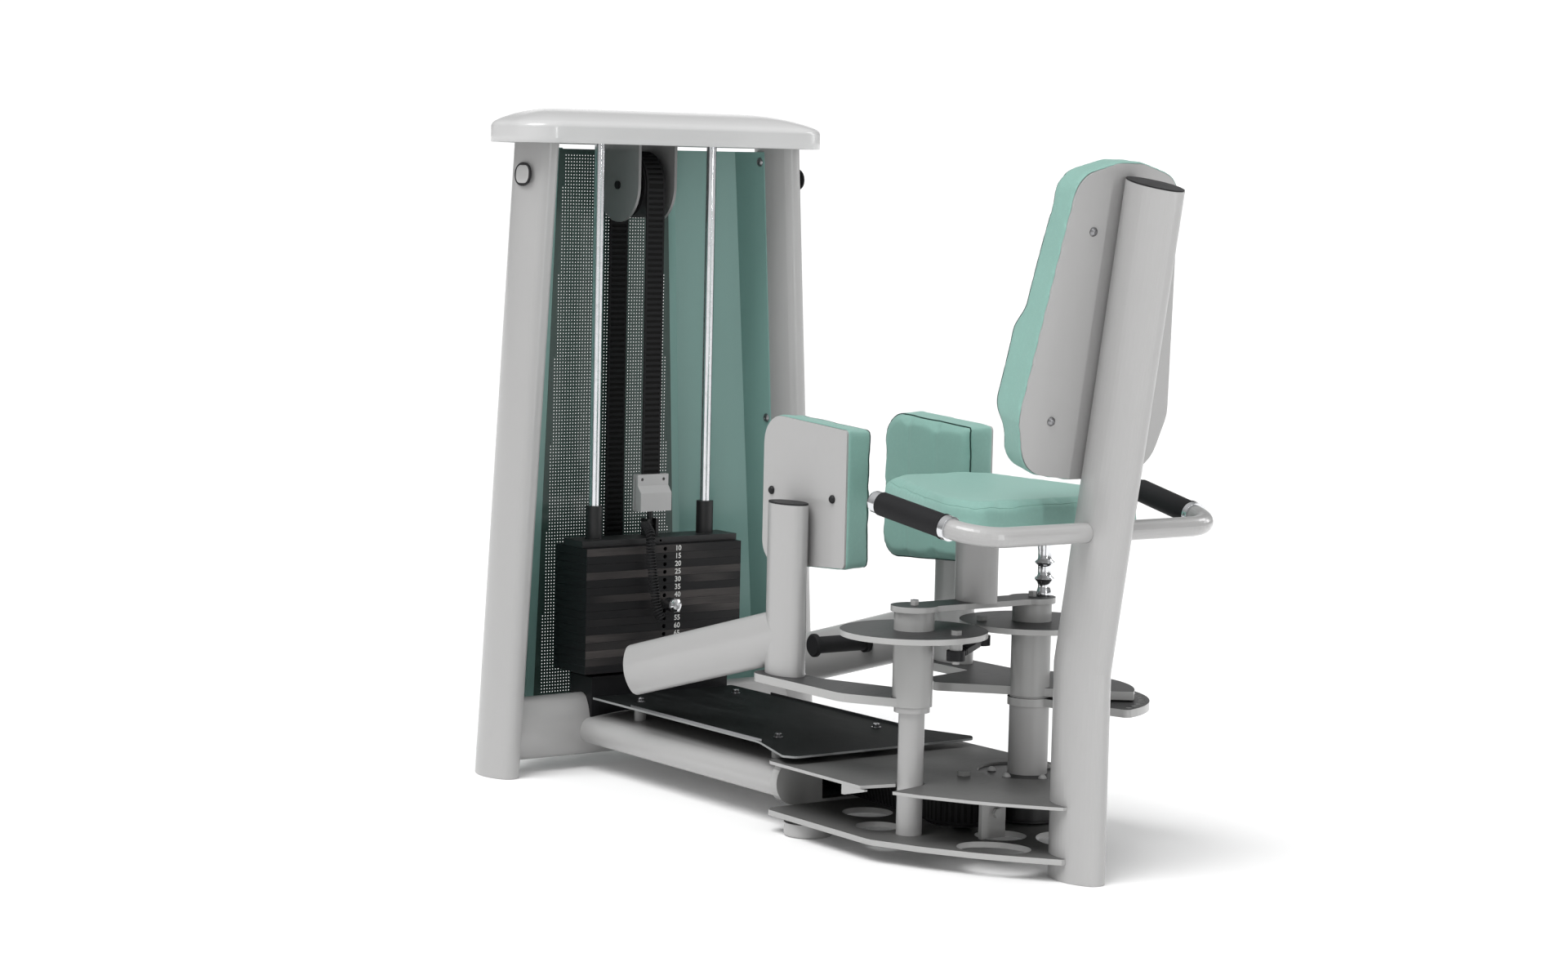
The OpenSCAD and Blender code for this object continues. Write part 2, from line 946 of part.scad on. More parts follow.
// one weight plate with its rod holes, stem hole and selector hole
module weight_plate() {
  difference() {
    translate([-plate_w / 2, -plate_d / 2, 0])
      cube([plate_w, plate_d, plate_t]);
    for (s = [-1, 1])
      translate([s * rod_x, 0, -1])
        rod(rod_d + 2, plate_t + 2);
    translate([0, 0, -1])
      rod(stem_d + 2, plate_t + 2);
    translate([0, 0, plate_t / 2])
      rotate([90, 0, 0])
        rod(pin_d + 2 * slide_fit, plate_d);
  }
}

module plates(first, count) {
  for (i = [0 : count - 1])
    translate([0, stack_y, stack_z + (first + i) * plate_pitch])
      weight_plate();
}

module resting_weight_plates() {
  color(grey)
    in_frame()
      plates(0, resting_count);
}

module lifted_weight_plates() {
  color(grey)
    in_frame()
      plates(resting_count, lifted_count);
}

stem_foot = stack_z + 4;

// top block, bushings, stem, fork and belt clamp
module weight_head() {
  color(black)
    in_frame() {
      difference() {
        union() {
          translate([-plate_w / 2, stack_y - 40, head_z])
            cube([plate_w, 70, head_t]);
          for (s = [-1, 1])
            translate([s * rod_x, stack_y, head_z + head_t])
              cylinder(r = bushing_r, h = bushing_h, $fn = fn_round);
          translate([0, stack_y, stem_foot])
            rod(stem_d, head_z - stem_foot + 1);
        }
        for (s = [-1, 1])
          translate([s * rod_x, stack_y, head_z - 1])
            rod(rod_d + 2 * slide_fit, head_t + bushing_h + 2);
        for (i = [0 : plate_count - 1])
          translate([0, stack_y + stem_d, stack_z + i * plate_pitch + plate_t / 2])
            rotate([90, 0, 0])
              rod(pin_d + 2 * slide_fit, 2 * stem_d);
        translate([0, stack_y - 41, head_z + head_t / 2])
          rotate([-90, 0, 0])
            rod(5, 8);
      }
      // fork with its cross bolt
      for (s = [-1, 1])
        translate([s * 10 - 3, stack_y - 12, fork_z])
          cube([6, 24, 34]);
      translate([0, stack_y, fork_z + 22])
        rotate([0, 90, 0])
          cylinder(d = 10, h = 36, center = true, $fn = 32);
      translate([0, stack_y, fork_z + 10])
        cylinder(d = 12, h = clamp_z - fork_z - 10, $fn = 32);
      // clamp: two halves that hold the belt between them
      belt_y = stack_y;
      translate([-clamp_w / 2, belt_y - belt_t / 2 - 0.1 - 12, clamp_z])
        difference() {
          rotate([90, 0, 90])
            linear_extrude(clamp_w)
              polygon([[12, 0], [-8, 0], [-8, 36], [4, 50], [4, clamp_h], [12, clamp_h]]);
          for (x = [11, clamp_w - 11])
            translate([x, -20, clamp_h - 10])
              rotate([-90, 0, 0])
                rod(6.2, 60);
        }
      translate([-clamp_w / 2, belt_y + belt_t / 2 + 0.1, clamp_z])
        cube([clamp_w, 6, clamp_h]);
    }
}

module belt_lift_strand() {
  color(black)
    in_frame()
      translate([-belt_w / 2, stack_y - belt_t / 2, clamp_z + 2])
        cube([belt_w, belt_t, top_pulley_z - clamp_z - 2]);
}

module selector_pin() {
  knob_y = stack_y - plate_d / 2 - 4;
  color(chrome)
    in_frame()
      translate([0, 0, pin_z]) {
        translate([0, stack_y + stem_d / 2 - 1, 0])
          rotate([90, 0, 0])
            rod(pin_d, plate_d / 2 + stem_d / 2 + 4.5);
        translate([0, knob_y, 0])
          rotate([90, 0, 0])
            rotate_extrude($fn = 48)
              polygon([
                [0, 0], [9, 0], [9, 6], [13, 10], [14, 14], [14, 34],
                [12.5, 38], [8, 40.5], [0, 41],
              ]);
      }
}

lanyard_d = 20;
lanyard_route = [
  [-20, -10, 468],
  [-30, -38, 466],
  [-42, -68, 454],
  [-46, -75, 430],
  [-44, -77, 399],
  [-38, -79, 350],
  [-33, -82, 312],
  [-24, -85, 286],
];

module pin_lanyard() {
  color(black)
    in_frame()
      translate([0, stack_y, 0])
        swept_tube(lanyard_route, lanyard_d, 12, [1, 0, 0]);
}

// ---------- pulleys and belt ----------

// flat-belt pulley with side flanges, web holes and a bore, axis along z
module pulley(r, w, bore, flange, holes) {
  difference() {
    rotate_extrude($fn = 128)
      polygon([
        [bore / 2, -w / 2], [bore / 2 + 10, -w / 2], [bore / 2 + 10, -5], [r - 9, -5], [r - 9, -w / 2],
        [r + flange, -w / 2], [r + flange, -w / 2 + 2], [r, -w / 2 + 2], [r, w / 2 - 2],
        [r + flange, w / 2 - 2], [r + flange, w / 2], [r - 9, w / 2], [r - 9, 5], [bore / 2 + 10, 5],
        [bore / 2 + 10, w / 2], [bore / 2, w / 2],
      ]);
    if (holes > 0)
      for (i = [0 : holes - 1])
        rotate(360 * i / holes)
          translate([(r - 9 + bore / 2 + 10) / 2, 0, -10])
            cylinder(d = (r - 9 - bore / 2 - 10) * 0.7, h = 20, $fn = 32);
  }
}

axle_d = 16;

module top_pulley() {
  color(black)
    in_frame()
      translate([0, top_pulley_y, top_pulley_z])
        rotate([0, 90, 0])
          pulley(top_pulley_r, belt_w + 6, axle_d + 2 * shaft_fit, 0, 6);
}

bracket_half = 45;
cheek_x = belt_w / 2 + 12;
cheek_t = 6;
bracket_r = top_pulley_r + 8.5;

module pulley_bracket() {
  color(grey)
    in_frame() {
      for (s = [-1, 1])
        translate([s * bracket_half - (s > 0 ? 6 : 0), top_pulley_y, 0])
          rotate([90, 0, 90])
            difference() {
              union() {
                translate([0, top_pulley_z])
                  cylinder(r = bracket_r, h = 6, $fn = 96);
                translate([-bracket_r, top_pulley_z, 0])
                  cube([2 * bracket_r, tower_h - top_pulley_z, 6]);
              }
              translate([0, top_pulley_z, -1])
                rod(axle_d + 0.2, 8);
            }
      // cheeks that carry the pulley at the tower's foot
      difference() {
        for (s = [-1, 1])
          translate([s * cheek_x - cheek_t / 2, 0, 0])
            rotate([90, 0, 90])
              difference() {
                linear_extrude(cheek_t)
                  polygon(rounded([
                    [tower_y, belt_z - 14, 2],
                    [base_pulley_y + 20, belt_z + 4, 10],
                    [base_pulley_y + 20, base_pulley_z + 20, 14],
                    [base_pulley_y - 20, base_pulley_z + 20, 14],
                    [tower_y, base_pulley_z + 4, 2],
                  ]));
                translate([base_pulley_y, base_pulley_z, -1])
                  rod(axle_d + 0.2, 8);
              }
        cross_beam_solid(0.05);
      }
    }
}

module pulley_axles() {
  color(black)
    in_frame() {
      translate([0, top_pulley_y, top_pulley_z])
        rotate([0, 90, 0])
          cylinder(d = axle_d, h = 2 * bracket_half + 8, center = true, $fn = fn_round);
      translate([0, base_pulley_y, base_pulley_z])
        rotate([0, 90, 0])
          cylinder(d = axle_d, h = belt_w + 36, center = true, $fn = fn_round);
    }
}

// the idler's axle and the bracket whose bolt sets the belt's tension
module idler_mount() {
  color(grey)
    in_frame() {
      translate([0, idler_y, 0]) {
        translate([0, 0, lower_top])
          rod(axle_d, base_gap);
        translate([0, 0, upper_top])
          cylinder(d = 24, h = 8, $fn = 6);
        translate([0, 0, lower_top])
          rod(30, 7);
      }
      translate([-53, 187, lower_top])
        cube([52, 9, base_gap]);
      translate([-22, 180, lower_top + 44])
        rotate([-90, 0, 0])
          cylinder(d = 18, h = 7, $fn = 6);
      translate([-22, 196, lower_top + 44])
        rotate([-90, 0, 0])
          rod(10, 22);
    }
}

module foot_pulley() {
  color(black)
    in_frame()
      translate([0, base_pulley_y, base_pulley_z])
        rotate([0, 90, 0])
          pulley(base_pulley_r, belt_w + 4, axle_d + 2 * shaft_fit, 0, 0);
}

module idler_pulley() {
  color(black)
    in_frame()
      translate([0, idler_y, belt_z])
        pulley(idler_r, 50, axle_d + 2 * shaft_fit, 4, 0);
}

// where the belt crosses from the idler to the drum
to_drum = right_pivot - [0, idler_y];
drum_dist = norm(to_drum);
drum_dir = atan2(to_drum[1], to_drum[0]);
cross_a = acos((idler_belt_r + drum_belt_r) / drum_dist);
leave_a = drum_dir - cross_a;
meet_a = drum_dir + 180 - cross_a;
wrap_a = 70;

// one cross-section of the belt: its middle, its outward side and its way of travel
function belt_ring(at, out, way) =
  let (wide = cross(way, out) * belt_w / 2, thick = out * belt_t / 2)
  [at + thick + wide, at - thick + wide, at - thick - wide, at + thick - wide];

run_steps = 12;

module drive_belt() {
  top_r = top_pulley_r + belt_clear_r;
  foot_r = base_pulley_r + belt_clear_r;
  leave_end = leave_a + 360;
  color(black)
    in_frame()
      skin(concat(
        // over the top pulley, from its rear side to the front, then down
        [for (a = [180 : -6 : 0])
          belt_ring([0, top_pulley_y + top_r * cos(a), top_pulley_z + top_r * sin(a)],
            [0, cos(a), sin(a)], [0, sin(a), -cos(a)])],
        // under the foot pulley
        [for (a = [0 : -7.5 : -90])
          belt_ring([0, base_pulley_y + foot_r * cos(a), base_pulley_z + foot_r * sin(a)],
            [0, cos(a), sin(a)], [0, sin(a), -cos(a)])],
        // through the central beam, turning on edge
        [for (i = [1 : run_steps - 1])
          let (f = i / run_steps)
          belt_ring([-idler_belt_r * f, base_pulley_y + (idler_y - base_pulley_y) * f, belt_z],
            [-sin(90 * f), 0, -cos(90 * f)], [0, -1, 0])],
        // round the idler
        [for (i = [0 : 32])
          let (a = 180 + (leave_end - 180) * i / 32)
          belt_ring([idler_belt_r * cos(a), idler_y + idler_belt_r * sin(a), belt_z],
            [cos(a), sin(a), 0], [-sin(a), cos(a), 0])],
        // across to the drum and round it
        [for (i = [0 : 12])
          let (a = meet_a - wrap_a * i / 12)
          belt_ring([right_pivot[0] + drum_belt_r * cos(a), right_pivot[1] + drum_belt_r * sin(a), belt_z],
            [-cos(a), -sin(a), 0], [sin(a), -cos(a), 0])]
      ));
}

// ---------- pivots ----------

module pivot_shafts() {
  color(steel)
    in_frame()
      for (p = [left_pivot, right_pivot])
        translate([p[0], p[1], lower_top])
          difference() {
            union() {
              cylinder(r = shaft_r, h = link_plate_z - lower_top, $fn = fn_round);
              // collar that carries the left arm
              if (p == left_pivot)
                translate([0, 0, arm_z - 10.4 - lower_top])
                  cylinder(r = 31, h = 10, $fn = fn_round);
            }
            translate([0, 0, -1])
              cylinder(r = 7, h = big, $fn = 32);
          }
}

link_end_r = 41;
link_waist = 30;

module link_plate() {
  color(grey)
    in_frame() {
      translate([0, 0, link_plate_z])
        linear_extrude(disc_t)
          difference() {
            union() {
              for (p = [left_pivot, right_pivot])
                translate(p)
                  circle(r = link_end_r, $fn = fn_round);
              translate([0, pivot_y])
                square([2 * pivot_x, 2 * link_waist], center = true);
            }
            translate(lock_knob_xy)
              circle(d = lock_pin_d + 2 * slide_fit, $fn = 32);
          }
      // the bolts on the pivots' axes
      for (p = [left_pivot, right_pivot])
        translate([p[0], p[1], link_plate_top])
          cylinder(d = 15, h = 9, $fn = 6);
    }
}

// ---------- foot plate ----------

tread_front = stack_y - plate_d / 2 - 1;
standoff_y = [tread_rear + 178, tread_front - 91];

module foot_plate() {
  side = [
    [tread_half_w, tread_front, 4],
    [tread_half_w, tread_rear + 165, 80],
    [tread_flare_w + 2, tread_rear + 22, 10],
    [tread_flare_w - 12, tread_rear, 16],
  ];
  color(black)
    in_frame()
      translate([0, 0, tread_z])
        difference() {
          slab(rounded(concat(side, [for (i = [3 : -1 : 0]) [-side[i][0], side[i][1], side[i][2]]])), tread_t);
          for (s = [-1, 1], y = standoff_y)
            translate([s * fixing_x, y, -1])
              rod(8.4, tread_t + 2);
        }
}

fixing_x = 112;

// ---------- seat ----------

module seat_column() {
  color(steel)
    in_frame()
      translate([0, pivot_y - 4, link_plate_top]) {
        linear_extrude(seat_z - 8 - link_plate_top)
          small_wall_section();
        translate([0, 0, seat_z - 8 - link_plate_top])
          slab(rounded([[-60, -85, 12], [60, -85, 12], [60, 70, 12], [-60, 70, 12]]), 8);
      }
}

// seat outline, grown by an overhang
function seat_outline(grow) =
  let (
    y0 = seat_rear - grow,
    y1 = seat_rear + seat_len + grow,
    w0 = seat_rear_w + grow,
    w1 = seat_front_w + grow
  )
  rounded([
    [w0 - 22, y0, 50], [w0 + 2, y0 + 70, 50], [w1 + 6, y1 - 30, 34], [w1 - 30, y1, 60],
    [-w1 + 30, y1, 60], [-w1 - 6, y1 - 30, 34], [-w0 - 2, y0 + 70, 50], [-w0 + 22, y0, 50],
  ]);

// tips the seat up at its front, about the column
module on_seat() {
  translate([0, pivot_y, seat_z])
    rotate([seat_tilt, 0, 0])
      translate([0, -pivot_y, 5])
        children();
}

module seat_board() {
  color(black)
    in_frame() {
      on_seat()
        slab(seat_outline(-overhang), board_t);
      // wedge between the column's head plate and the tilted board
      difference() {
        translate([0, pivot_y - 4, seat_z + 0.05])
          linear_extrude(16)
            square([110, 140], center = true);
        on_seat()
          translate([-big / 2, -big / 2, 0])
            cube([big, big, 60]);
      }
    }
}

module seat_cushion() {
  color(mint)
    in_frame()
      on_seat()
        translate([0, 0, board_t + 0.1])
          slab(seat_outline(0), seat_cushion_t);
}

// ---------- back rest ----------

// back rest outline: x across, y along the post, from the lower edge
function back_outline(grow) =
  let (
    half = [
      [back_half_w * 0.16, back_len + grow, 60],
      [back_half_w * 0.66 + grow, back_len * 0.955 + grow, 50],
      [back_half_w * 0.74 + grow, back_len * 0.79, 150],
      [back_half_w + grow, back_len * 0.2, 60],
      [back_half_w * 0.84 + grow, -grow * 0.6 + 14, 60],
      [back_half_w * 0.2, -grow, 80],
    ]
  )
  rounded(concat(half, [for (i = [len(half) - 1 : -1 : 0]) [-half[i][0], half[i][1], half[i][2]]]));

// stands children on the leaning post's front face; z points away from the post
module on_back(out = 0) {
  on_lean(back_low)
    translate([0, tube_long / 2 + 0.1 + out, 0])
      rotate([90, 0, 180])
        mirror([1, 0, 0])
          children();
}

module back_board() {
  color(steel)
    in_frame()
      on_back()
        slab(back_outline(0), board_t);
}

module back_cushion() {
  color(mint)
    in_frame() {
      on_back(board_t + 0.1)
        slab(back_outline(overhang), back_cushion_t);
      // lumbar bulge across the lower half
      on_back(board_t + 0.1 + back_cushion_t - 4)
        intersection() {
          slab(back_outline(-12), lumbar + 4);
          translate([0, back_len * 0.31, lumbar + 4 - 420])
            rotate([0, 90, 0])
              cylinder(r = 420, h = 400, center = true, $fn = 180);
        }
    }
}

module dome_bolt(d, h) {
  rotate_extrude($fn = 32)
    polygon([[0, 0], [d / 2, 0], [d / 2, h * 0.3], [d * 0.36, h * 0.75], [d * 0.2, h], [0, h]]);
}

// ---------- handles ----------

// plane of the handles: x across, y forward and up
module handle_plane() {
  translate([0, handle_y, handle_z])
    rotate([handle_tilt, 0, 0])
      children();
}

handle_bend_a = 90 - handle_turn;
handle_tangent = handle_bend_r * tan(handle_bend_a / 2);

// places children at the start of a handle's straight part, z along it
module on_handle(side, along = 0) {
  handle_plane()
    mirror([side < 0 ? 1 : 0, 0, 0])
      translate([handle_half_w, 0, 0])
        rotate(-handle_turn)
          translate([0, handle_tangent + along, 0])
            rotate([-90, 0, 0])
              children();
}

handle_wall = 3;
handle_straight = 12 + grip_len + 10;

// centre line of a handle in its plane, from inside the post to the grip's end
function handle_path(past) =
  let (
    out = [sin(handle_turn), cos(handle_turn)],
    bend = [handle_half_w - handle_tangent, handle_bend_r],
    corner = [handle_half_w, 0]
  )
  [for (p = concat(
    [[2 - past, 0]],
    arc(bend, handle_bend_r, -90, handle_bend_a - 90, 12),
    [corner + (handle_tangent + handle_straight + past) * out]
  )) [p[0], p[1], 0]];

module handle(side) {
  color(steel)
    in_frame()
      handle_plane()
        mirror([side < 0 ? 1 : 0, 0, 0])
          difference() {
            swept_tube(handle_path(0), handle_d, 24, [0, 0, 1]);
            swept_tube(handle_path(1), handle_d - 2 * handle_wall, 24, [0, 0, 1]);
          }
}

module left_handle() {
  handle(-1);
}

module right_handle() {
  handle(1);
}

module handle_grips() {
  color(black)
    in_frame()
      for (s = [-1, 1])
        on_handle(s, 14)
          difference() {
            rotate_extrude($fn = 48)
              polygon([
                [0, 0], [grip_d / 2 + 1.5, 0], [grip_d / 2 + 1.5, 4], [grip_d / 2, 6],
                [grip_d / 2, grip_len], [0, grip_len],
              ]);
            translate([0, 0, -1])
              rod(handle_d + 0.1, grip_len + 2);
          }
}

module handle_trim() {
  color(chrome)
    in_frame()
      for (s = [-1, 1]) {
        on_handle(s, 1)
          difference() {
            rod(handle_d + 8, 12.5);
            translate([0, 0, -1])
              rod(handle_d + 0.1, 15);
            translate([0, 0, 6])
              rotate([0, -90, 0])
                cylinder(d = 4, h = 40, $fn = 24);
          }
        on_handle(s, 14 + grip_len + 0.2)
          difference() {
            rotate_extrude($fn = 48)
              polygon([[0, 0], [18.5, 0], [18.5, 15], [17, 18.5], [13, 20], [0, 20]]);
            translate([0, 0, -1])
              rod(handle_d + 0.1, handle_straight - 14 - grip_len + 0.9);
          }
      }
}

// ---------- drive shaft, sector and hub ----------

module on_right_pivot(z) {
  translate([right_pivot[0], right_pivot[1], z])
    children();
}

drive_z0 = lower_top + 0.5;
drive_z1 = arm_z - 0.4;

sector_a0 = -76;
sector_a1 = 66;
sector_step = 7;
sector_neck = drive_r + 4;

module drive_sector() {
  color(grey)
    in_frame()
      on_right_pivot(sector_z)
        difference() {
          linear_extrude(sector_t)
            union() {
              polygon(rounded(concat(
                [[0, -sector_neck, 3]],
                [[sector_r * cos(sector_a0), sector_r * sin(sector_a0), 12]],
                [for (a = [sector_a0 + 9 : 3 : sector_a1 - 9])
                  [sector_r * cos(a), sector_r * sin(a), 0]],
                [[sector_r * cos(sector_a1), sector_r * sin(sector_a1), 12]],
                [[0, sector_neck, 3]]
              )));
              circle(r = sector_neck, $fn = fn_round);
            }
          translate([0, 0, -1])
            cylinder(r = drive_r + 0.1, h = sector_t + 2, $fn = fn_round);
          for (i = [-17 : 1])
            rotate(start_pin_a + i * sector_step)
              translate([sector_hole_r, 0, -1])
                rod(start_pin_d + 2 * slide_fit, sector_t + 2);
        }
}

hub_r = hub_hole_r - 1;

module drive_shaft() {
  hub_z = upper_z + 2;
  color(chrome)
    in_frame()
      on_right_pivot(0)
        difference() {
          union() {
            // bolted disc in the upper plate's hole
            translate([0, 0, hub_z - 8])
              cylinder(r = hub_r, h = 8, $fn = 96);
            for (i = [0 : 5])
              rotate(i * 60 + 15)
                translate([63, 0, hub_z - 0.5])
                  dome_bolt(15, 7.5);
            translate([0, 0, drive_z0])
              cylinder(r = drive_r, h = drive_z1 - drive_z0, $fn = fn_round);
            // drum that winds the belt
            translate([0, 0, belt_z - 26])
              cylinder(r = drum_r, h = hub_z - 8 - belt_z + 26, $fn = 96);
            translate([0, 0, belt_z - 29])
              cylinder(r = drum_r + 5, h = 3.2, $fn = 96);
          }
          cylinder(r = shaft_r + shaft_fit, h = big, center = true, $fn = fn_round);
        }
}

// ---------- arms ----------

start_pin_d = 12;

// sleeve on a pivot shaft with its disc and collar
module arm_hub(pivot) {
  translate([pivot[0], pivot[1], 0])
    difference() {
      union() {
        translate([0, 0, arm_z])
          cylinder(r = sleeve_r, h = link_plate_z - 0.3 - arm_z, $fn = fn_round);
        translate([0, 0, disc_z])
          cylinder(r = disc_r, h = disc_t, $fn = 128);
      }
      cylinder(r = shaft_r + shaft_fit, h = big, center = true, $fn = fn_round);
    }
}

// pin under the disc that carries the linkage rod
module link_pin(at, foot) {
  translate([at[0], at[1], 0]) {
    translate([0, 0, foot])
      rod(12, disc_z + disc_t + 1 - foot);
    translate([0, 0, disc_z + disc_t - 0.1])
      cylinder(d = 19, h = 8, $fn = 6);
  }
}

left_arm_outline = rounded([
  [left_post[0] - 42, left_post[1] + 58, 34],
  [left_post[0] - 42, pivot_y + 89, 70],
  [-pivot_x - 33, pivot_y - 6, 12],
  [-pivot_x + 34, pivot_y - 6, 12],
  [-pivot_x + 37, pivot_y + 107, 30],
  [left_post[0] + 28, left_post[1] - 72, 60],
  [left_post[0] + 27, left_post[1] + 58, 34],
]);

right_arm_outline = concat(
  rounded([
    [pivot_x + 151, pivot_y + 111, 0],
    [right_post[0] + 42, right_post[1] - 118, 20],
    [right_post[0] + 38, right_post[1] + 57, 34],
    [right_post[0] - 48, right_post[1] + 57, 34],
    [right_post[0] - 46, right_post[1] - 104, 12],
    [pivot_x - 34, pivot_y + 181, 20],
    [pivot_x - 91, pivot_y + 167, 16],
    [pivot_x - 125, pivot_y + 113, 12],
    [pivot_x - 29, pivot_y + 11, 10],
    [pivot_x - 3, pivot_y - 27, 10],
    [pivot_x + 85, pivot_y - 113, 14],
    [pivot_x + 119, pivot_y - 139.5, 0],
  ]),
  arc(right_pivot, 183.5, -46, 30, 24)
);

module arm_plate(outline, pivot) {
  translate([0, 0, arm_z])
    difference() {
      slab(outline, arm_t);
      translate([pivot[0], pivot[1], -1])
        cylinder(r = sleeve_r - 2, h = arm_t + 2, $fn = fn_round);
    }
}

module left_arm() {
  color(grey)
    in_frame() {
      arm_hub(left_pivot);
      arm_plate(left_arm_outline, left_pivot);
      translate([left_pin[0], left_pin[1], disc_z - 16])
        rod(22, 16);
      link_pin(left_pin, rod_z - 6);
    }
}

module right_arm() {
  color(grey)
    in_frame()
      difference() {
        union() {
          arm_hub(right_pivot);
          arm_plate(right_arm_outline, right_pivot);
          // lobe and guide of the start pin
          translate([start_pin_xy[0], start_pin_xy[1], arm_z])
            cylinder(r = 22, h = arm_t, $fn = fn_round);
          translate([start_pin_xy[0], start_pin_xy[1], arm_z])
            cylinder(r = 14, h = arm_t + 30, $fn = fn_round);
          translate([right_pin[0], right_pin[1], disc_z - 15.6])
            rod(22, 15.6);
          link_pin(right_pin, disc_z - 15.6);
        }
        translate([start_pin_xy[0], start_pin_xy[1], arm_z - 1])
          rod(start_pin_d + 2 * slide_fit, 100);
      }
}

module start_pin() {
  top = arm_z + arm_t + 30.5;
  color(chrome)
    in_frame()
      translate([start_pin_xy[0], start_pin_xy[1], 0]) {
        translate([0, 0, sector_z + 1])
          rod(start_pin_d, top + 2 - sector_z);
        translate([0, 0, top])
          rotate_extrude($fn = 48)
            polygon([
              [0, 0], [13, 0], [13, 3], [7, 7], [6, 14], [9, 20],
              [15, 24], [17, 29], [15, 34], [8, 37], [0, 37.5],
            ]);
      }
}

lock_knob_xy = [153, 285];
lock_pin_d = 8;

module lock_knob() {
  color(chrome)
    in_frame()
      translate([lock_knob_xy[0], lock_knob_xy[1], 0]) {
        translate([0, 0, link_plate_z + 1])
          rod(lock_pin_d, disc_t);
        translate([0, 0, link_plate_top + 0.3])
          rotate_extrude($fn = 48)
            polygon([
              [0, 0], [13, 0], [13, 3], [9.5, 9], [7.5, 18], [7, 34], [9, 38], [9, 42], [7, 45],
              [7, 58], [9.5, 62], [9.5, 66], [8, 69], [8, 78], [12, 82], [12, 93], [9, 96], [0, 96],
            ]);
      }
}

// a pad post: oval tube on the arm plate, with the leg tube in front of it
module pad_post(at, side) {
  color(steel)
    in_frame() {
      difference() {
        translate([at[0], at[1], arm_z + arm_t])
          linear_extrude(pad_post_top - arm_z - arm_t)
            small_wall_section();
        leg_axis(at, side)
          leg_solid(-0.05, 0);
      }
      leg_axis(at, side)
        difference() {
          leg_solid(0, 0);
          leg_solid(3, 4);
        }
    }
}

// a leg tube's solid: small oval with its long side upright
module leg_solid(inset, short_by) {
  translate([0, 0, short_by])
    linear_extrude(leg_len - 2 * short_by)
      small_section(inset);
}

// z runs along the leg tube from the pad post's axis
module leg_axis(at, side) {
  translate([at[0], at[1], leg_z])
    rotate([0, 0, -side * leg_turn])
      rotate([-90 - leg_drop, 0, 0])
        children();
}

module left_pad_post() {
  pad_post(left_post, -1);
}

module right_pad_post() {
  pad_post(right_post, 1);
}

peg_along = 245;

// foot peg pointing inward from a leg tube
module foot_peg(at, side) {
  side_x = pad_post_short / 2;
  color(black)
    in_frame()
      leg_axis(at, side)
        translate([0, 0, peg_along])
          rotate([0, -side * 90, 0])
            rotate_extrude($fn = fn_round)
              polygon([
                [0, side_x + 0.1], [peg_d / 2 + 4, side_x + 0.1], [peg_d / 2 + 4, side_x + 8],
                [peg_d / 2, side_x + 10], [peg_d / 2, side_x + peg_len], [peg_d / 2 + 6, side_x + peg_len],
                [peg_d / 2 + 6, side_x + peg_len + 5], [peg_d / 2 + 3, side_x + peg_len + 8],
                [0, side_x + peg_len + 8],
              ]);
}

module left_foot_peg() {
  foot_peg(left_post, -1);
}

module right_foot_peg() {
  foot_peg(right_post, 1);
}

// pad outline: x along the arm from the rear end, y up
function pad_outline(grow) = rounded([
  [-grow, 14 - grow, 8 + grow],
  [pad_len + grow, -grow, 40 + grow],
  [pad_len + grow, pad_h + grow, 50 + grow],
  [-grow, pad_h - 15 + grow, 8 + grow],
]);

// stands children on the inner face of a pad post; z points inward
module on_pad(at, side, rear, out = 0) {
  translate([at[0] - side * (pad_post_short / 2 + 0.1 + out), rear, pad_z])
    rotate([90, 0, 90])
      mirror([0, 0, side > 0 ? 1 : 0])
        children();
}

pad_bolt_x = [38, 221];

// pad board with its bolts, and the cap of the post that carries it
module pad_board(at, side, rear) {
  color(steel)
    in_frame()
      on_pad(at, side, rear)
        slab(pad_outline(0), pad_board_t);
}

// the post's cap and the bolts through the board
module pad_trim(at, side, rear) {
  color(black)
    in_frame() {
      translate([at[0], at[1], pad_post_top])
        linear_extrude(3)
          small_section(0.5);
      on_pad(at, side, rear)
        for (x = pad_bolt_x)
          translate([x, 133, -0.1])
            mirror([0, 0, 1])
              dome_bolt(15, 6);
    }
}

module left_pad_trim() {
  pad_trim(left_post, -1, left_pad_rear);
}

module right_pad_trim() {
  pad_trim(right_post, 1, right_pad_rear);
}

module left_pad_board() {
  pad_board(left_post, -1, left_pad_rear);
}

module right_pad_board() {
  pad_board(right_post, 1, right_pad_rear);
}

module pad_cushion(at, side, rear) {
  color(mint)
    in_frame()
      on_pad(at, side, rear, pad_board_t + 0.1)
        slab(pad_outline(overhang), pad_cushion_t);
}

module left_pad_cushion() {
  pad_cushion(left_post, -1, left_pad_rear);
}

module right_pad_cushion() {
  pad_cushion(right_post, 1, right_pad_rear);
}

// ---------- linkage rod ----------

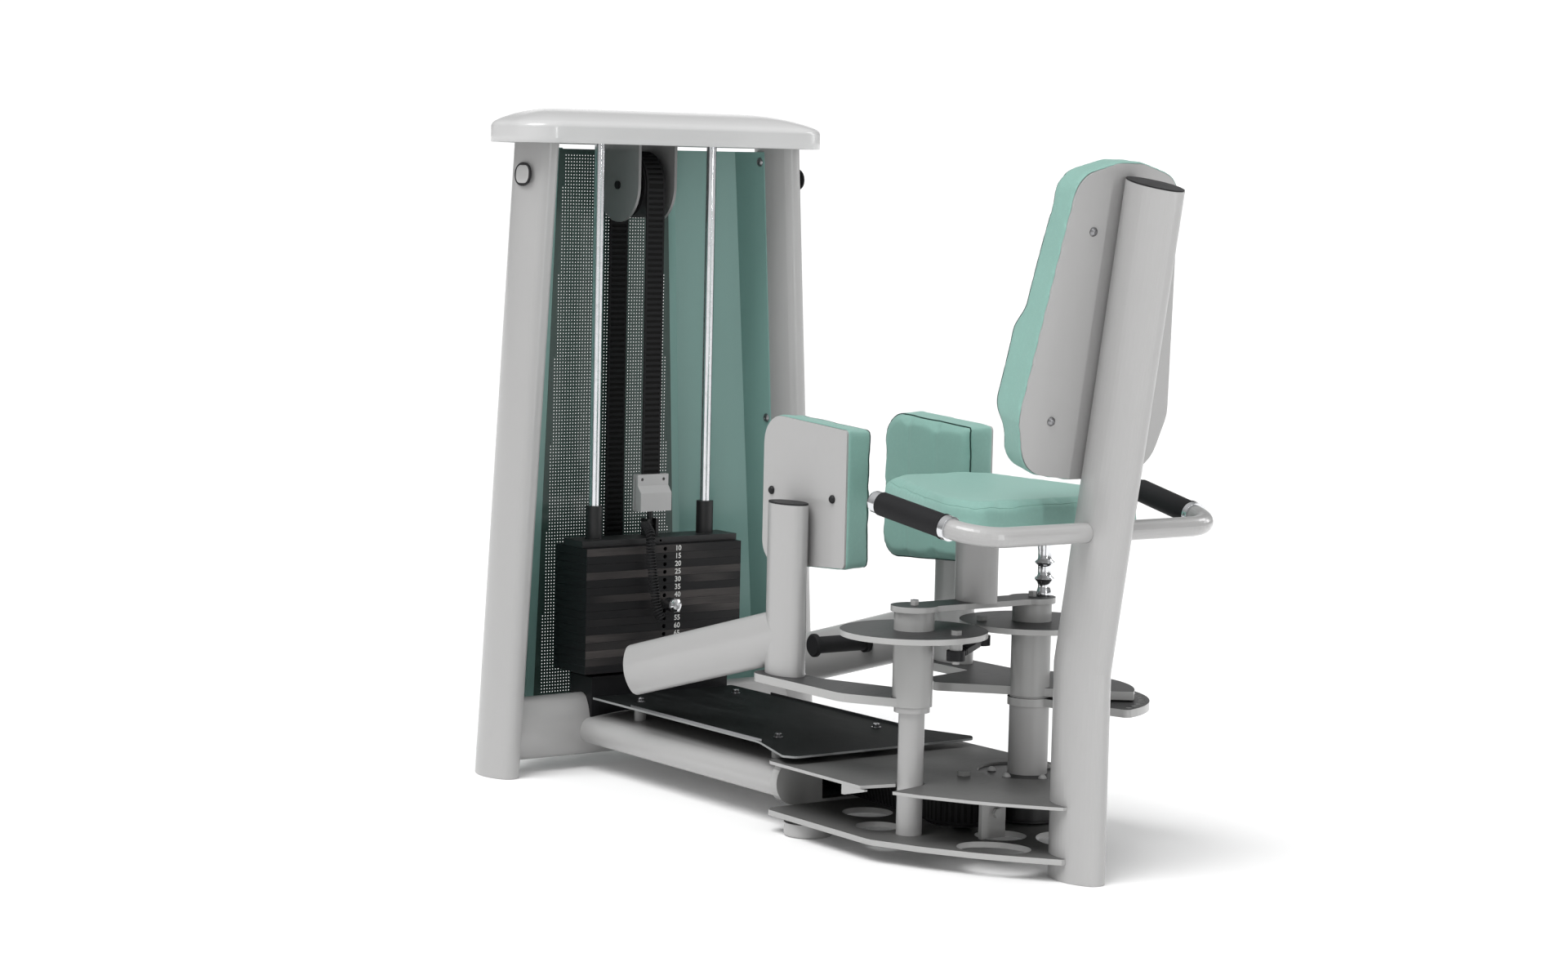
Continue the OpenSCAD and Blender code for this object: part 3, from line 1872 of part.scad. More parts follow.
module link_rod() {
  span = right_pin - left_pin;
  length = norm(span);
  mid_z = rod_z + rod_eye_t / 2;
  color(chrome)
    in_frame()
      translate([left_pin[0], left_pin[1], 0])
        rotate(atan2(span[1], span[0]))
          difference() {
            union() {
              for (x = [0, length])
                translate([x, 0, rod_z + 0.3])
                  rod(32, rod_eye_t - 0.6);
              translate([12, 0, mid_z])
                rotate([0, 90, 0])
                  rod(12, length - 24);
              translate([length / 2 - 48, 0, mid_z])
                rotate([0, 90, 0])
                  cylinder(d = 21, h = 96, $fn = 6);
              for (x = [length / 2 - 58, length / 2 + 50])
                translate([x, 0, mid_z])
                  rotate([0, 90, 0])
                    cylinder(d = 20, h = 8, $fn = 6);
            }
            translate([0, 0, rod_z - 1])
              rod(12 + 2 * shaft_fit, 40);
          }
}

// ---------- fixings of the frame ----------

// dished screws that hold the guard panels to the tower posts
module panel_screws() {
  for (s = [-1, 1], z = screw_heights)
    translate([s * (post_inner_x(z) - sheet_t - 0.4), tower_y + 9, z])
      rotate([0, -s * (90 + tower_lean), 0])
        rotate_extrude($fn = 32)
          polygon([[0, 0], [9, 0], [8.4, 2.2], [5.5, 4.2], [3, 4.6], [3, 3], [0, 3]]);
}

// standoffs under the foot plate and the bolt heads on it
module tread_fixings() {
  arc_r = (pow(beam_w / 2 - 26, 2) + pow(beam_h / 2, 2) - 26 * 26) / (beam_h - 52);
  for (s = [-1, 1], y = standoff_y)
    translate([s * fixing_x, y, 0]) {
      difference() {
        translate([0, 0, beam_z + 20])
          rod(standoff_d, tread_z - beam_z - 20);
        translate([-s * fixing_x, 0, beam_z + beam_h / 2 - arc_r])
          rotate([90, 0, 0])
            cylinder(r = arc_r + 0.05, h = 60, center = true, $fn = 400);
      }
      translate([0, 0, tread_z])
        rotate_extrude($fn = 32)
          polygon([
            [0, 0], [4, 0], [4, tread_t], [9, tread_t], [9, tread_t + 1.5], [6.5, tread_t + 1.5],
            [6.5, tread_t + 7], [5.5, tread_t + 8], [3, tread_t + 8], [3, tread_t + 4], [0, tread_t + 4],
          ]);
    }
}

// domed bolts through the back and seat boards
module board_bolts() {
  for (s = [-1, 1], y = [back_len * 0.19, back_len * 0.787])
    on_back(-0.1)
      translate([s * (y > back_len / 2 ? 62 : 93), y, 0])
        mirror([0, 0, 1])
          dome_bolt(15, 6);
  for (s = [-1, 1], y = [-70, 62])
    translate([s * 45, pivot_y - 4 + y, seat_z - 8.1])
      mirror([0, 0, 1])
        dome_bolt(14, 6);
}

module frame_fixings() {
  color(chrome)
    in_frame() {
      panel_screws();
      tread_fixings();
      board_bolts();
    }
}

back_post();
post_trim();
lower_base_plate();
upper_base_plate();
beam_flange();
central_beam();
tower_cross_beam();
left_tower_post();
right_tower_post();
tower_top_beam();
tower_cover();
perforated_panel();
left_side_panel();
right_side_panel();
frame_fixings();
guide_rods();
stack_pedestal();
resting_weight_plates();
pulley_bracket();
pulley_axles();
foot_plate();
pivot_shafts();
link_plate();
seat_column();
seat_board();
seat_cushion();
back_board();
back_cushion();
left_handle();
right_handle();
handle_grips();
handle_trim();
base_feet();
drive_belt();
idler_mount();
drive_shaft();
drive_sector();
right_arm();
right_pad_post();
right_pad_trim();
right_pad_board();
right_pad_cushion();
right_foot_peg();
left_arm();
left_pad_post();
left_pad_trim();
left_pad_board();
left_pad_cushion();
left_foot_peg();
link_rod();
weight_head();
lifted_weight_plates();
belt_lift_strand();
selector_pin();
pin_lanyard();
start_pin();
lock_knob();
top_pulley();
foot_pulley();
idler_pulley();
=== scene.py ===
"""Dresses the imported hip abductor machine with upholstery, guards, belt, finishes and a studio."""

import json
import logging
import math
from dataclasses import dataclass, field
from enum import Enum
from itertools import accumulate
from typing import Any, Callable, Iterable, Iterator, Mapping, Optional, Sequence, Union

import bpy
from mathutils import Matrix, Vector
from mathutils.bvhtree import BVHTree
from mathutils.kdtree import KDTree


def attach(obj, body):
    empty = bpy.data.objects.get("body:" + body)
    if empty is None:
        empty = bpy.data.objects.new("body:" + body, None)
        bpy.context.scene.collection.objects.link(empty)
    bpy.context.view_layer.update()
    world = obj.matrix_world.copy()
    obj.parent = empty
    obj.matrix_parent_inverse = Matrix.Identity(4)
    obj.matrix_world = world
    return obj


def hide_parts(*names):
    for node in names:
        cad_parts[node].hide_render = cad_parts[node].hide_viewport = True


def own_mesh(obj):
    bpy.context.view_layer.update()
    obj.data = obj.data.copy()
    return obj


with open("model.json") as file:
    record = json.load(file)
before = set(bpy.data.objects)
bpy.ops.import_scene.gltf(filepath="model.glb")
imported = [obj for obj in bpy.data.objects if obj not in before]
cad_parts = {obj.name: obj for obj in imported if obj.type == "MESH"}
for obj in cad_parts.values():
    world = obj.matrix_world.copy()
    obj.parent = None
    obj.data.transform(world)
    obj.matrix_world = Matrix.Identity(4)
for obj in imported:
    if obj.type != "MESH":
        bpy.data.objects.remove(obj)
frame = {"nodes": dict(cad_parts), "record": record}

LOG = logging.getLogger("hip_abductor")
MM = 0.001
MID_Y = 643.0145
TOWER_Y = 1299.4
STACK_Y = 1310.8
STACK_FOOT = 187.4
PLATE_PITCH = 15.33
GUARD_TOP_HALF = 128.0
# name of the point mark that carries the painted shade into the belt's grooves
GROOVE_SHADE = "groove"

Triple = tuple[float, float, float]
Colour = Triple
Point2 = tuple[float, float]
Key = Union[int, str]
Shape = tuple[list[Vector], list[list[int]]]
Material = bpy.types.Material
Object = bpy.types.Object


def from_post(x: float, y: float, z: float) -> Vector:
    """A point drawn in millimetres from the back post's foot, in the machine's frame."""
    return Vector((x, y - MID_Y, z)) * MM


def turned(x: float = 0.0, y: float = 0.0, z: float = 0.0) -> Matrix:
    """Turns about x, then y, then z, in degrees."""
    parts = [
        Matrix.Rotation(math.radians(a), 4, axis)
        for a, axis in ((z, "Z"), (y, "Y"), (x, "X"))
    ]
    return parts[0] @ parts[1] @ parts[2]


def moved(x: float, y: float, z: float) -> Matrix:
    """A shift in millimetres."""
    return Matrix.Translation((x, y, z))


def to_frame() -> Matrix:
    """Takes millimetres from the back post's foot into the machine's frame in metres."""
    return Matrix.Scale(MM, 4) @ moved(0, -MID_Y, 0)


# ---- lines and outlines


def step_between(value: float, low: float, high: float) -> float:
    """Nought below low, one above high, smooth between."""
    t = max(0.0, min(1.0, (value - low) / (high - low)))
    return t * t * (3 - 2 * t)


def running(line: Sequence[Vector]) -> list[float]:
    """The length of a line up to each of its points."""
    return [0.0, *accumulate((b - a).length for a, b in zip(line, line[1:]))]


def walk(lengths: Sequence[float], wanted: Iterable[float]) -> Iterator[tuple[int, float]]:
    """Finds rising distances on a line.

    Args:
        lengths: the length up to each point of the line.
        wanted: the distances.

    Yields:
        The number of the stretch and the share of it, for each distance.
    """
    i = 0
    for want in wanted:
        while i < len(lengths) - 2 and lengths[i + 1] < want:
            i += 1
        yield i, min(1.0, (want - lengths[i]) / max(lengths[i + 1] - lengths[i], 1e-9))


def spread(line: Sequence[Vector], spacing: float, closed: bool = False) -> list[Vector]:
    """Sets points at even distances along a line.

    Args:
        line: its points.
        spacing: the distance wanted.
        closed: whether the line goes back to its start.

    Returns:
        The new points.
    """
    line = [*line, line[0]] if closed else line
    lengths = running(line)
    count = max(1, round(lengths[-1] / spacing))
    wanted = [lengths[-1] * k / count for k in range(count if closed else count + 1)]
    return [line[i].lerp(line[i + 1], share) for i, share in walk(lengths, wanted)]


def rounded(corners: Sequence[Triple], step: float) -> list[Point2]:
    """Draws an outline with rounded corners.

    Args:
        corners: x, y and corner radius of each corner, in order.
        step: largest turn between two points, in degrees.

    Returns:
        The outline's points.
    """
    out: list[Point2] = []
    for i, (bx, by, radius) in enumerate(corners):
        b = Vector((bx, by))
        u = (Vector(corners[i - 1][:2]) - b).normalized()
        v = (Vector(corners[(i + 1) % len(corners)][:2]) - b).normalized()
        half = math.acos(max(-1.0, min(1.0, u.dot(v)))) / 2
        centre = b + (u + v).normalized() * radius / math.sin(half)
        start = b + u * radius / math.tan(half) - centre
        end = b + v * radius / math.tan(half) - centre
        first = math.atan2(start.y, start.x)
        sweep = (math.atan2(end.y, end.x) - first + math.pi) % (2 * math.pi) - math.pi
        steps = max(1, math.ceil(abs(math.degrees(sweep)) / step))
        for k in range(steps + 1):
            a = first + sweep * k / steps
            out.append((centre.x + radius * math.cos(a), centre.y + radius * math.sin(a)))
    return out


def evenly(outline: Sequence[Point2], spacing: float) -> list[Point2]:
    """The outline with its points at nearly even distances."""
    return [(p.x, p.y) for p in spread([Vector(p) for p in outline], spacing, True)]


def mirrored(half: Sequence[Triple]) -> list[Triple]:
    """Corners of a shape that is the same left and right, from its right half."""
    return [*half, *((-x, y, r) for x, y, r in reversed(half))]


def inset(outline: Sequence[Point2], distance: float) -> list[Point2]:
    """Moves an anticlockwise, evenly spaced outline inwards.

    Args:
        outline: its points.
        distance: how far they move.

    Returns:
        The moved points.
    """
    out: list[Point2] = []
    for i, (x, y) in enumerate(outline):
        along = (Vector(outline[(i + 1) % len(outline)]) - Vector(outline[i - 1])).normalized()
        out.append((x - along.y * distance, y + along.x * distance))
    return out


def anticlockwise(outline: list[Point2]) -> list[Point2]:
    """The same outline, running anticlockwise."""
    area = sum(a[0] * b[1] - b[0] * a[1] for a, b in zip(outline, outline[1:] + outline[:1]))
    return outline if area > 0 else outline[::-1]


# ---- shader expressions


class Field:
    """One shader socket that can stand in a Python expression."""

    def __init__(self, kit: "NodeKit", socket: bpy.types.NodeSocket) -> None:
        self.kit = kit
        self.socket = socket

    def _math(self, operation: str, first: Any, second: Any) -> "Field":
        """Adds one Math node on two values."""
        return self.kit.node("Math", {"operation": operation}, {0: first, 1: second})

    def __add__(self, other: Any) -> "Field":
        """Sum."""
        return self._math("ADD", self, other)

    def __radd__(self, other: Any) -> "Field":
        """Sum with a number on the left."""
        return self._math("ADD", other, self)

    def __sub__(self, other: Any) -> "Field":
        """Difference."""
        return self._math("SUBTRACT", self, other)

    def __rsub__(self, other: Any) -> "Field":
        """Difference from a number on the left."""
        return self._math("SUBTRACT", other, self)

    def __mul__(self, other: Any) -> "Field":
        """Product."""
        return self._math("MULTIPLY", self, other)

    def __rmul__(self, other: Any) -> "Field":
        """Product with a number on the left."""
        return self._math("MULTIPLY", other, self)

    def __truediv__(self, other: Any) -> "Field":
        """Quotient."""
        return self._math("DIVIDE", self, other)

    def __rtruediv__(self, other: Any) -> "Field":
        """Quotient of a number on the left."""
        return self._math("DIVIDE", other, self)

    def clamp(self) -> "Field":
        """This value kept between nought and one."""
        return self._math("MINIMUM", self._math("MAXIMUM", self, 0.0), 1.0)

    def floor(self) -> "Field":
        """The whole number below."""
        return self._math("FLOOR", self, 0.0)

    def other(self, output: Key) -> "Field":
        """Another output of the same node."""
        return Field(self.kit, self.socket.node.outputs[output])


Value = Union[Field, float, Triple]


class NodeKit:
    """Builds the nodes of one material or world."""

    def __init__(self, name: str, world: bool = False) -> None:
        """Starts with a Principled shader, or with a background.

        Args:
            name: of the material or world.
            world: whether it is a world.
        """
        self.owner = (bpy.data.worlds if world else bpy.data.materials).new(name)
        self.owner.use_nodes = True
        self.tree = self.owner.node_tree
        self.tree.nodes.clear()
        kinds = ("OutputWorld", "Background") if world else ("OutputMaterial", "BsdfPrincipled")
        output, self.shader = (self.tree.nodes.new("ShaderNode" + kind) for kind in kinds)
        self.tree.links.new(self.shader.outputs[0], output.inputs["Surface"])

    def node(
        self,
        kind: str,
        settings: Optional[Mapping[str, Any]] = None,
        sockets: Optional[Mapping[Key, Value]] = None,
        output: Key = 0,
    ) -> Field:
        """Adds any node.

        Args:
            kind: the node's type, after its common first part.
            settings: properties, set first.
            sockets: values or fields for its inputs.
            output: which output is wanted.

        Returns:
            That output as a field.
        """
        made = self.tree.nodes.new("ShaderNode" + kind)
        for name, value in (settings or {}).items():
            setattr(made, name, value)
        for key, value in (sockets or {}).items():
            self.feed(made.inputs[key], value)
        return Field(self, made.outputs[output])

    def feed(self, socket: bpy.types.NodeSocket, value: Value) -> None:
        """Links a field to a socket, or sets a constant on it.

        Args:
            socket: an input.
            value: what it gets.
        """
        if isinstance(value, Field):
            self.tree.links.new(value.socket, socket)
        elif isinstance(value, tuple) and socket.type == "RGBA":
            socket.default_value = (*value, 1.0)
        else:
            socket.default_value = value

    def place(self) -> Field:
        """The surface point in the machine's frame, carried along when its body moves."""
        return self.node("TexCoord", output="Object")

    def axes(self) -> tuple[Field, Field, Field]:
        """The three coordinates of the surface point."""
        split = self.node("SeparateXYZ", None, {0: self.place()})
        return split, split.other(1), split.other(2)

    def facing(self, axis: int) -> Field:
        """One where the surface faces along an axis, nought where it stands across it."""
        normal = self.node("NewGeometry", output="Normal")
        part = self.node("SeparateXYZ", None, {0: normal}, output=axis)
        return self.span(part * part, 0.2, 0.6)

    def stretched(self, scale: Triple) -> Field:
        """The surface point with its axes scaled."""
        return self.node("VectorMath", {"operation": "MULTIPLY"}, {0: self.place(), 1: scale})

    def noise(self, scale: float, detail: float, rough: float, at: Optional[Field] = None) -> Field:
        """Smooth noise from nought to one."""
        sockets = {
            "Vector": at or self.place(),
            "Scale": scale,
            "Detail": detail,
            "Roughness": rough,
        }
        return self.node("TexNoise", None, sockets)

    def cells(self, scale: float, feature: str = "F1") -> Field:
        """Distance inside a field of cells."""
        return self.node(
            "TexVoronoi", {"feature": feature}, {"Vector": self.place(), "Scale": scale}
        )

    def span(
        self, value: Value, low: float, high: float, out_low: float = 0.0, out_high: float = 1.0
    ) -> Field:
        """Takes a range of values smoothly onto another."""
        sockets = {0: value, 1: low, 2: high, 3: out_low, 4: out_high}
        return self.node("MapRange", {"interpolation_type": "SMOOTHSTEP"}, sockets)

    def mix(self, share: Value, first: Value, second: Value) -> Field:
        """Mixes two colours."""
        return self.node("Mix", {"data_type": "RGBA"}, {0: share, 6: first, 7: second}, output=2)

    def bump(self, height: Value, distance: float, strength: float, edge: float = 0.0) -> Field:
        """Makes a normal raised by a height.

        Args:
            height: the height, from nought to one.
            distance: what a height of one stands for, in metres.
            strength: share of the effect.
            edge: radius that rounds the edges in metres, if any.

        Returns:
            The normal.
        """
        sockets: dict[Key, Value] = {"Height": height, "Distance": distance, "Strength": strength}
        if edge:
            sockets["Normal"] = self.node("Bevel", {"samples": 4}, {"Radius": edge})
        return self.node("Bump", None, sockets)

    def set(self, **values: Value) -> Any:
        """Sets the shader's sockets.

        Args:
            values: each socket's value, by its name with underscores for spaces.

        Returns:
            The material or world.
        """
        for name, value in values.items():
            self.feed(self.shader.inputs[name.replace("_", " ")], value)
        return self.owner


# ---- finishes

FRAME_GREY: Colour = (0.410, 0.407, 0.405)
MINT: Colour = (0.245, 0.450, 0.395)
TEAL: Colour = (0.270, 0.470, 0.430)
# lighter grey of the plates' sides and cut edges, beside the painted shade on their top faces
CUT_EDGE: Colour = (0.39, 0.39, 0.385)
SOOT: Colour = (0.012, 0.012, 0.013)
RIB_BLACK: Colour = (0.014, 0.014, 0.015)
ZINC: Colour = (0.30, 0.30, 0.31)
COAT = 0.5
COAT_ROUGHNESS = 0.13


def toned(colour: Colour, gain: float) -> Colour:
    """A colour made darker or lighter, kept below white."""
    return tuple(min(1.0, c * gain) for c in colour)


class Wear(Enum):
    """How much a painted surface has been used."""

    FRESH = 0.0
    HANDLED = 0.5


@dataclass(frozen=True)
class Finish:
    """A named finish; each kind adds its own sizes and nodes."""

    name: str

    def build(self) -> Material:
        """Makes the material."""
        return NodeKit(self.name).set()


@dataclass(frozen=True)
class PowderCoat(Finish):
    """Satin powder coat with a fine orange peel."""

    colour: Colour
    roughness: float = 0.42
    peel: float = 0.00006
    edge: float = 0.0012
    wear: Wear = Wear.FRESH

    def build(self) -> Material:
        """Makes the material.

        Returns:
            The material.
        """
        kit = NodeKit(self.name)
        cloud = kit.noise(3.2, 4.0, 0.6)
        speck = kit.span(kit.noise(420.0, 2.0, 0.6), 0.62, 0.74)
        colour = kit.mix(cloud, toned(self.colour, 0.93), self.colour)
        rub = kit.span(kit.noise(26.0, 5.0, 0.7), 0.52, 0.7) * (0.12 + 0.2 * self.wear.value)
        return kit.set(
            Base_Color=kit.mix(speck * 0.10, colour, toned(self.colour, 1.25)),
            Roughness=(rub + self.roughness).clamp(),
            Normal=kit.bump(kit.noise(620.0, 2.0, 0.4), self.peel, 0.7, self.edge),
            Specular_IOR_Level=0.5,
            Coat_Weight=COAT,
            Coat_Roughness=COAT_ROUGHNESS,
        )


@dataclass(frozen=True)
class ShadedTopPlate(Finish):
    """Powder coat on a cut plate, with painted shade: the flat top faces take a darker colour for
    the shade on them, the sides and cut edges a lighter grey.
    """

    colour: Colour
    edge_colour: Colour
    roughness: float = 0.42

    def build(self) -> Material:
        """Makes the material.

        Returns:
            The material.
        """
        kit = NodeKit(self.name)
        cloud = kit.noise(5.0, 4.0, 0.6)
        grain = kit.span(kit.noise(900.0, 3.0, 0.7), 0.5, 0.8)
        colour = kit.mix(cloud, toned(self.colour, 0.92), self.colour)
        colour = kit.mix(grain * 0.18, colour, toned(self.colour, 1.3))
        # painted shade: faces that point up take the dark colour, sides and cut edges the lighter
        # edge colour
        side = 1.0 - kit.facing(2)
        scuff = kit.span(kit.noise(40.0, 5.0, 0.7, kit.stretched((1.0, 6.0, 1.0))), 0.56, 0.72)
        return kit.set(
            Base_Color=kit.mix(side, colour, self.edge_colour),
            Roughness=(scuff * 0.16 + self.roughness).clamp(),
            Normal=kit.bump(kit.noise(700.0, 2.0, 0.5), 0.00006, 0.8, 0.0010),
            Specular_IOR_Level=0.3,
            Coat_Weight=side * COAT,
            Coat_Roughness=COAT_ROUGHNESS,
        )


@dataclass(frozen=True)
class Layer:
    """Colour, metal share and roughness of one part of a two-tone finish."""

    colour: Colour
    metallic: float = 0.0
    roughness: float = 0.4


@dataclass(frozen=True)
class TwoTone(Finish):
    """One layer below a height and another above it, the upper one within a half width."""

    height: float
    low: Layer
    high: Layer
    half_w: float = 1.0
    blend: float = 0.0002

    def build(self) -> Material:
        """Makes the material.

        Returns:
            The material.
        """
        kit = NodeKit(self.name)
        x, _, z = kit.axes()
        near = 1.0 - kit.span(x * x, self.half_w**2, (self.half_w + MM) ** 2)
        share = kit.span(z, self.height - self.blend, self.height + self.blend) * near
        cloud = kit.noise(9.0, 4.0, 0.6)
        low = kit.mix(cloud, toned(self.low.colour, 0.85), self.low.colour)
        high = kit.mix(cloud, toned(self.high.colour, 0.92), self.high.colour)
        rough = share * (self.high.roughness - self.low.roughness) + self.low.roughness
        return kit.set(
            Base_Color=kit.mix(share, low, high),
            Metallic=share * (self.high.metallic - self.low.metallic) + self.low.metallic,
            Roughness=(rough + cloud * 0.06).clamp(),
            Normal=kit.bump(kit.noise(500.0, 2.0, 0.5), 0.00005, 0.7, 0.0008),
        )


@dataclass(frozen=True)
class Chrome(Finish):
    """Polished chrome with faint handling marks."""

    colour: Colour = (0.78, 0.79, 0.81)
    roughness: float = 0.13
    edge: float = 0.0005

    def build(self) -> Material:
        """Makes the material.

        Returns:
            The material.
        """
        kit = NodeKit(self.name)
        marks = kit.span(kit.noise(90.0, 6.0, 0.75), 0.45, 0.75)
        return kit.set(
            Base_Color=kit.mix(kit.noise(14.0, 3.0, 0.5), toned(self.colour, 0.9), self.colour),
            Metallic=1.0,
            Roughness=(marks * 0.12 + self.roughness).clamp(),
            Normal=kit.bump(kit.noise(340.0, 3.0, 0.6), 0.00002, 0.5, self.edge),
        )


@dataclass(frozen=True)
class Vinyl(Finish):
    """Grained upholstery vinyl."""

    colour: Colour
    roughness: float = 0.44

    def build(self) -> Material:
        """Makes the material.

        Returns:
            The material.
        """
        kit = NodeKit(self.name)
        fine = kit.noise(160.0, 4.0, 0.65)
        colour = kit.mix(kit.noise(7.0, 5.0, 0.6), toned(self.colour, 0.88), self.colour)
        pebble = kit.span(kit.cells(780.0, "DISTANCE_TO_EDGE"), 0.0, 0.16)
        return kit.set(
            Base_Color=kit.mix(kit.span(fine, 0.45, 0.75) * 0.35, colour, toned(self.colour, 1.12)),
            Roughness=(fine * 0.16 + self.roughness).clamp(),
            Normal=kit.bump(pebble * 0.5 + kit.noise(46.0, 6.0, 0.62) * 0.9, 0.00042, 0.75),
            Sheen_Weight=0.12,
            Sheen_Roughness=0.5,
            Coat_Weight=0.06,
            Coat_Roughness=0.4,
        )


@dataclass(frozen=True)
class Rubber(Finish):
    """Matt black rubber or fine-grained plastic."""

    colour: Colour = SOOT
    roughness: float = 0.62
    grain: float = 520.0
    depth: float = 0.00012
    edge: float = 0.0008

    def build(self) -> Material:
        """Makes the material.

        Returns:
            The material.
        """
        kit = NodeKit(self.name)
        cloud = kit.noise(24.0, 5.0, 0.7)
        return kit.set(
            Base_Color=kit.mix(cloud, self.colour, tuple(c * 1.5 + 0.001 for c in self.colour)),
            Roughness=(cloud * 0.18 + self.roughness - 0.08).clamp(),
            Normal=kit.bump(kit.cells(self.grain), self.depth, 0.8, self.edge),
            Specular_IOR_Level=0.16,
        )


@dataclass(frozen=True)
class BeltRubber(Finish):
    """Black belt rubber with painted shade: the grooves between its ribs are coloured darker than
    the rib tops.
    """

    rib: Colour = RIB_BLACK
    # painted shade in the grooves
    low: Colour = (0.0015, 0.0015, 0.0015)

    def build(self) -> Material:
        """Makes the material.

        Returns:
            The material.
        """
        kit = NodeKit(self.name)
        groove = kit.node("Attribute", {"attribute_name": GROOVE_SHADE}, output="Fac")
        cloud = kit.noise(60.0, 4.0, 0.6)
        return kit.set(
            Base_Color=kit.mix(groove, kit.mix(cloud, toned(self.rib, 0.7), self.rib), self.low),
            Roughness=(cloud * 0.1 + 0.5).clamp(),
            Normal=kit.bump(kit.cells(700.0), 0.00008, 0.8, 0.0003),
            Specular_IOR_Level=0.15,
        )


@dataclass(frozen=True)
class TreadSheet(Finish):
    """Black foot plate sheet with a fine non-slip texture, and a painted highlight: its cut edges
    and sides are coloured light grey.
    """

    colour: Colour = (0.006, 0.007, 0.007)
    worn: Colour = (0.016, 0.018, 0.018)
    # light grey of the painted highlight on the cut edges and sides
    cut: Colour = (0.33, 0.34, 0.34)

    def build(self) -> Material:
        """Makes the material.

        Returns:
            The material.
        """
        kit = NodeKit(self.name)
        streak = kit.noise(5.0, 6.0, 0.7, kit.stretched((5.0, 1.4, 1.0)))
        colour = kit.mix(kit.span(streak, 0.42, 0.75), self.colour, self.worn)
        return kit.set(
            # painted highlight: sides and cut edges take the light grey
            Base_Color=kit.mix((1.0 - kit.facing(2)) * 0.85, colour, self.cut),
            Roughness=(streak * 0.2 + 0.5).clamp(),
            Normal=kit.bump(kit.cells(430.0) + streak * 0.6, 0.00025, 0.7, 0.0006),
            Specular_IOR_Level=0.08,
        )


@dataclass(frozen=True)
class StackEnamel(Finish):
    """Dark enamelled weight plates, each a little different, with brownish grey streaks."""

    foot: float
    pitch: float
    dark: Colour = (0.008, 0.008, 0.009)
    light: Colour = (0.070, 0.062, 0.060)

    def build(self) -> Material:
        """Makes the material.

        Returns:
            The material.
        """
        kit = NodeKit(self.name)
        x, y, z = kit.axes()
        layer = ((z - self.foot) / self.pitch).floor()
        seed = kit.node("CombineXYZ", None, {0: x * 2.4, 1: y * 2.0, 2: layer * 1.7})
        tone = kit.span(kit.noise(1.0, 2.0, 0.5, seed), 0.46, 0.66)
        smear = kit.noise(7.0, 4.0, 0.6, kit.stretched((1.0, 1.0, 9.0)))
        share = tone * kit.span(smear, 0.3, 0.65, 0.5, 1.0) * kit.facing(1)
        return kit.set(
            Base_Color=kit.mix(share, self.dark, self.light),
            Roughness=(smear * 0.22 + 0.34).clamp(),
            Normal=kit.bump(kit.noise(300.0, 3.0, 0.6), 0.00009, 0.8, 0.0010),
            Specular_IOR_Level=0.25,
        )


@dataclass(frozen=True)
class Ink(Finish):
    """Printed numbers."""

    colour: Colour = (0.80, 0.80, 0.78)
    chipped: Colour = (0.30, 0.30, 0.29)

    def build(self) -> Material:
        """Makes the material.

        Returns:
            The material.
        """
        kit = NodeKit(self.name)
        chips = kit.span(kit.noise(700.0, 4.0, 0.7), 0.30, 0.42)
        colour = kit.mix(chips, self.chipped, self.colour)
        return kit.set(Base_Color=colour, Roughness=(chips * 0.1 + 0.5).clamp())


@dataclass(frozen=True)
class FloorFinish(Finish):
    """Pale, almost seamless studio floor."""

    def build(self) -> Material:
        """Makes the material.

        Returns:
            The material.
        """
        kit = NodeKit(self.name)
        cloud = kit.noise(0.8, 3.0, 0.5)
        return kit.set(
            Base_Color=kit.mix(cloud, (0.89, 0.89, 0.89), (0.92, 0.92, 0.92)),
            Roughness=(cloud * 0.1 + 0.7).clamp(),
            Specular_IOR_Level=0.1,
            Emission_Color=(1.0, 1.0, 1.0),
            Emission_Strength=0.05,
        )


def made(finish: Finish) -> Any:
    """A field that holds a finish's material."""
    return field(default_factory=finish.build)


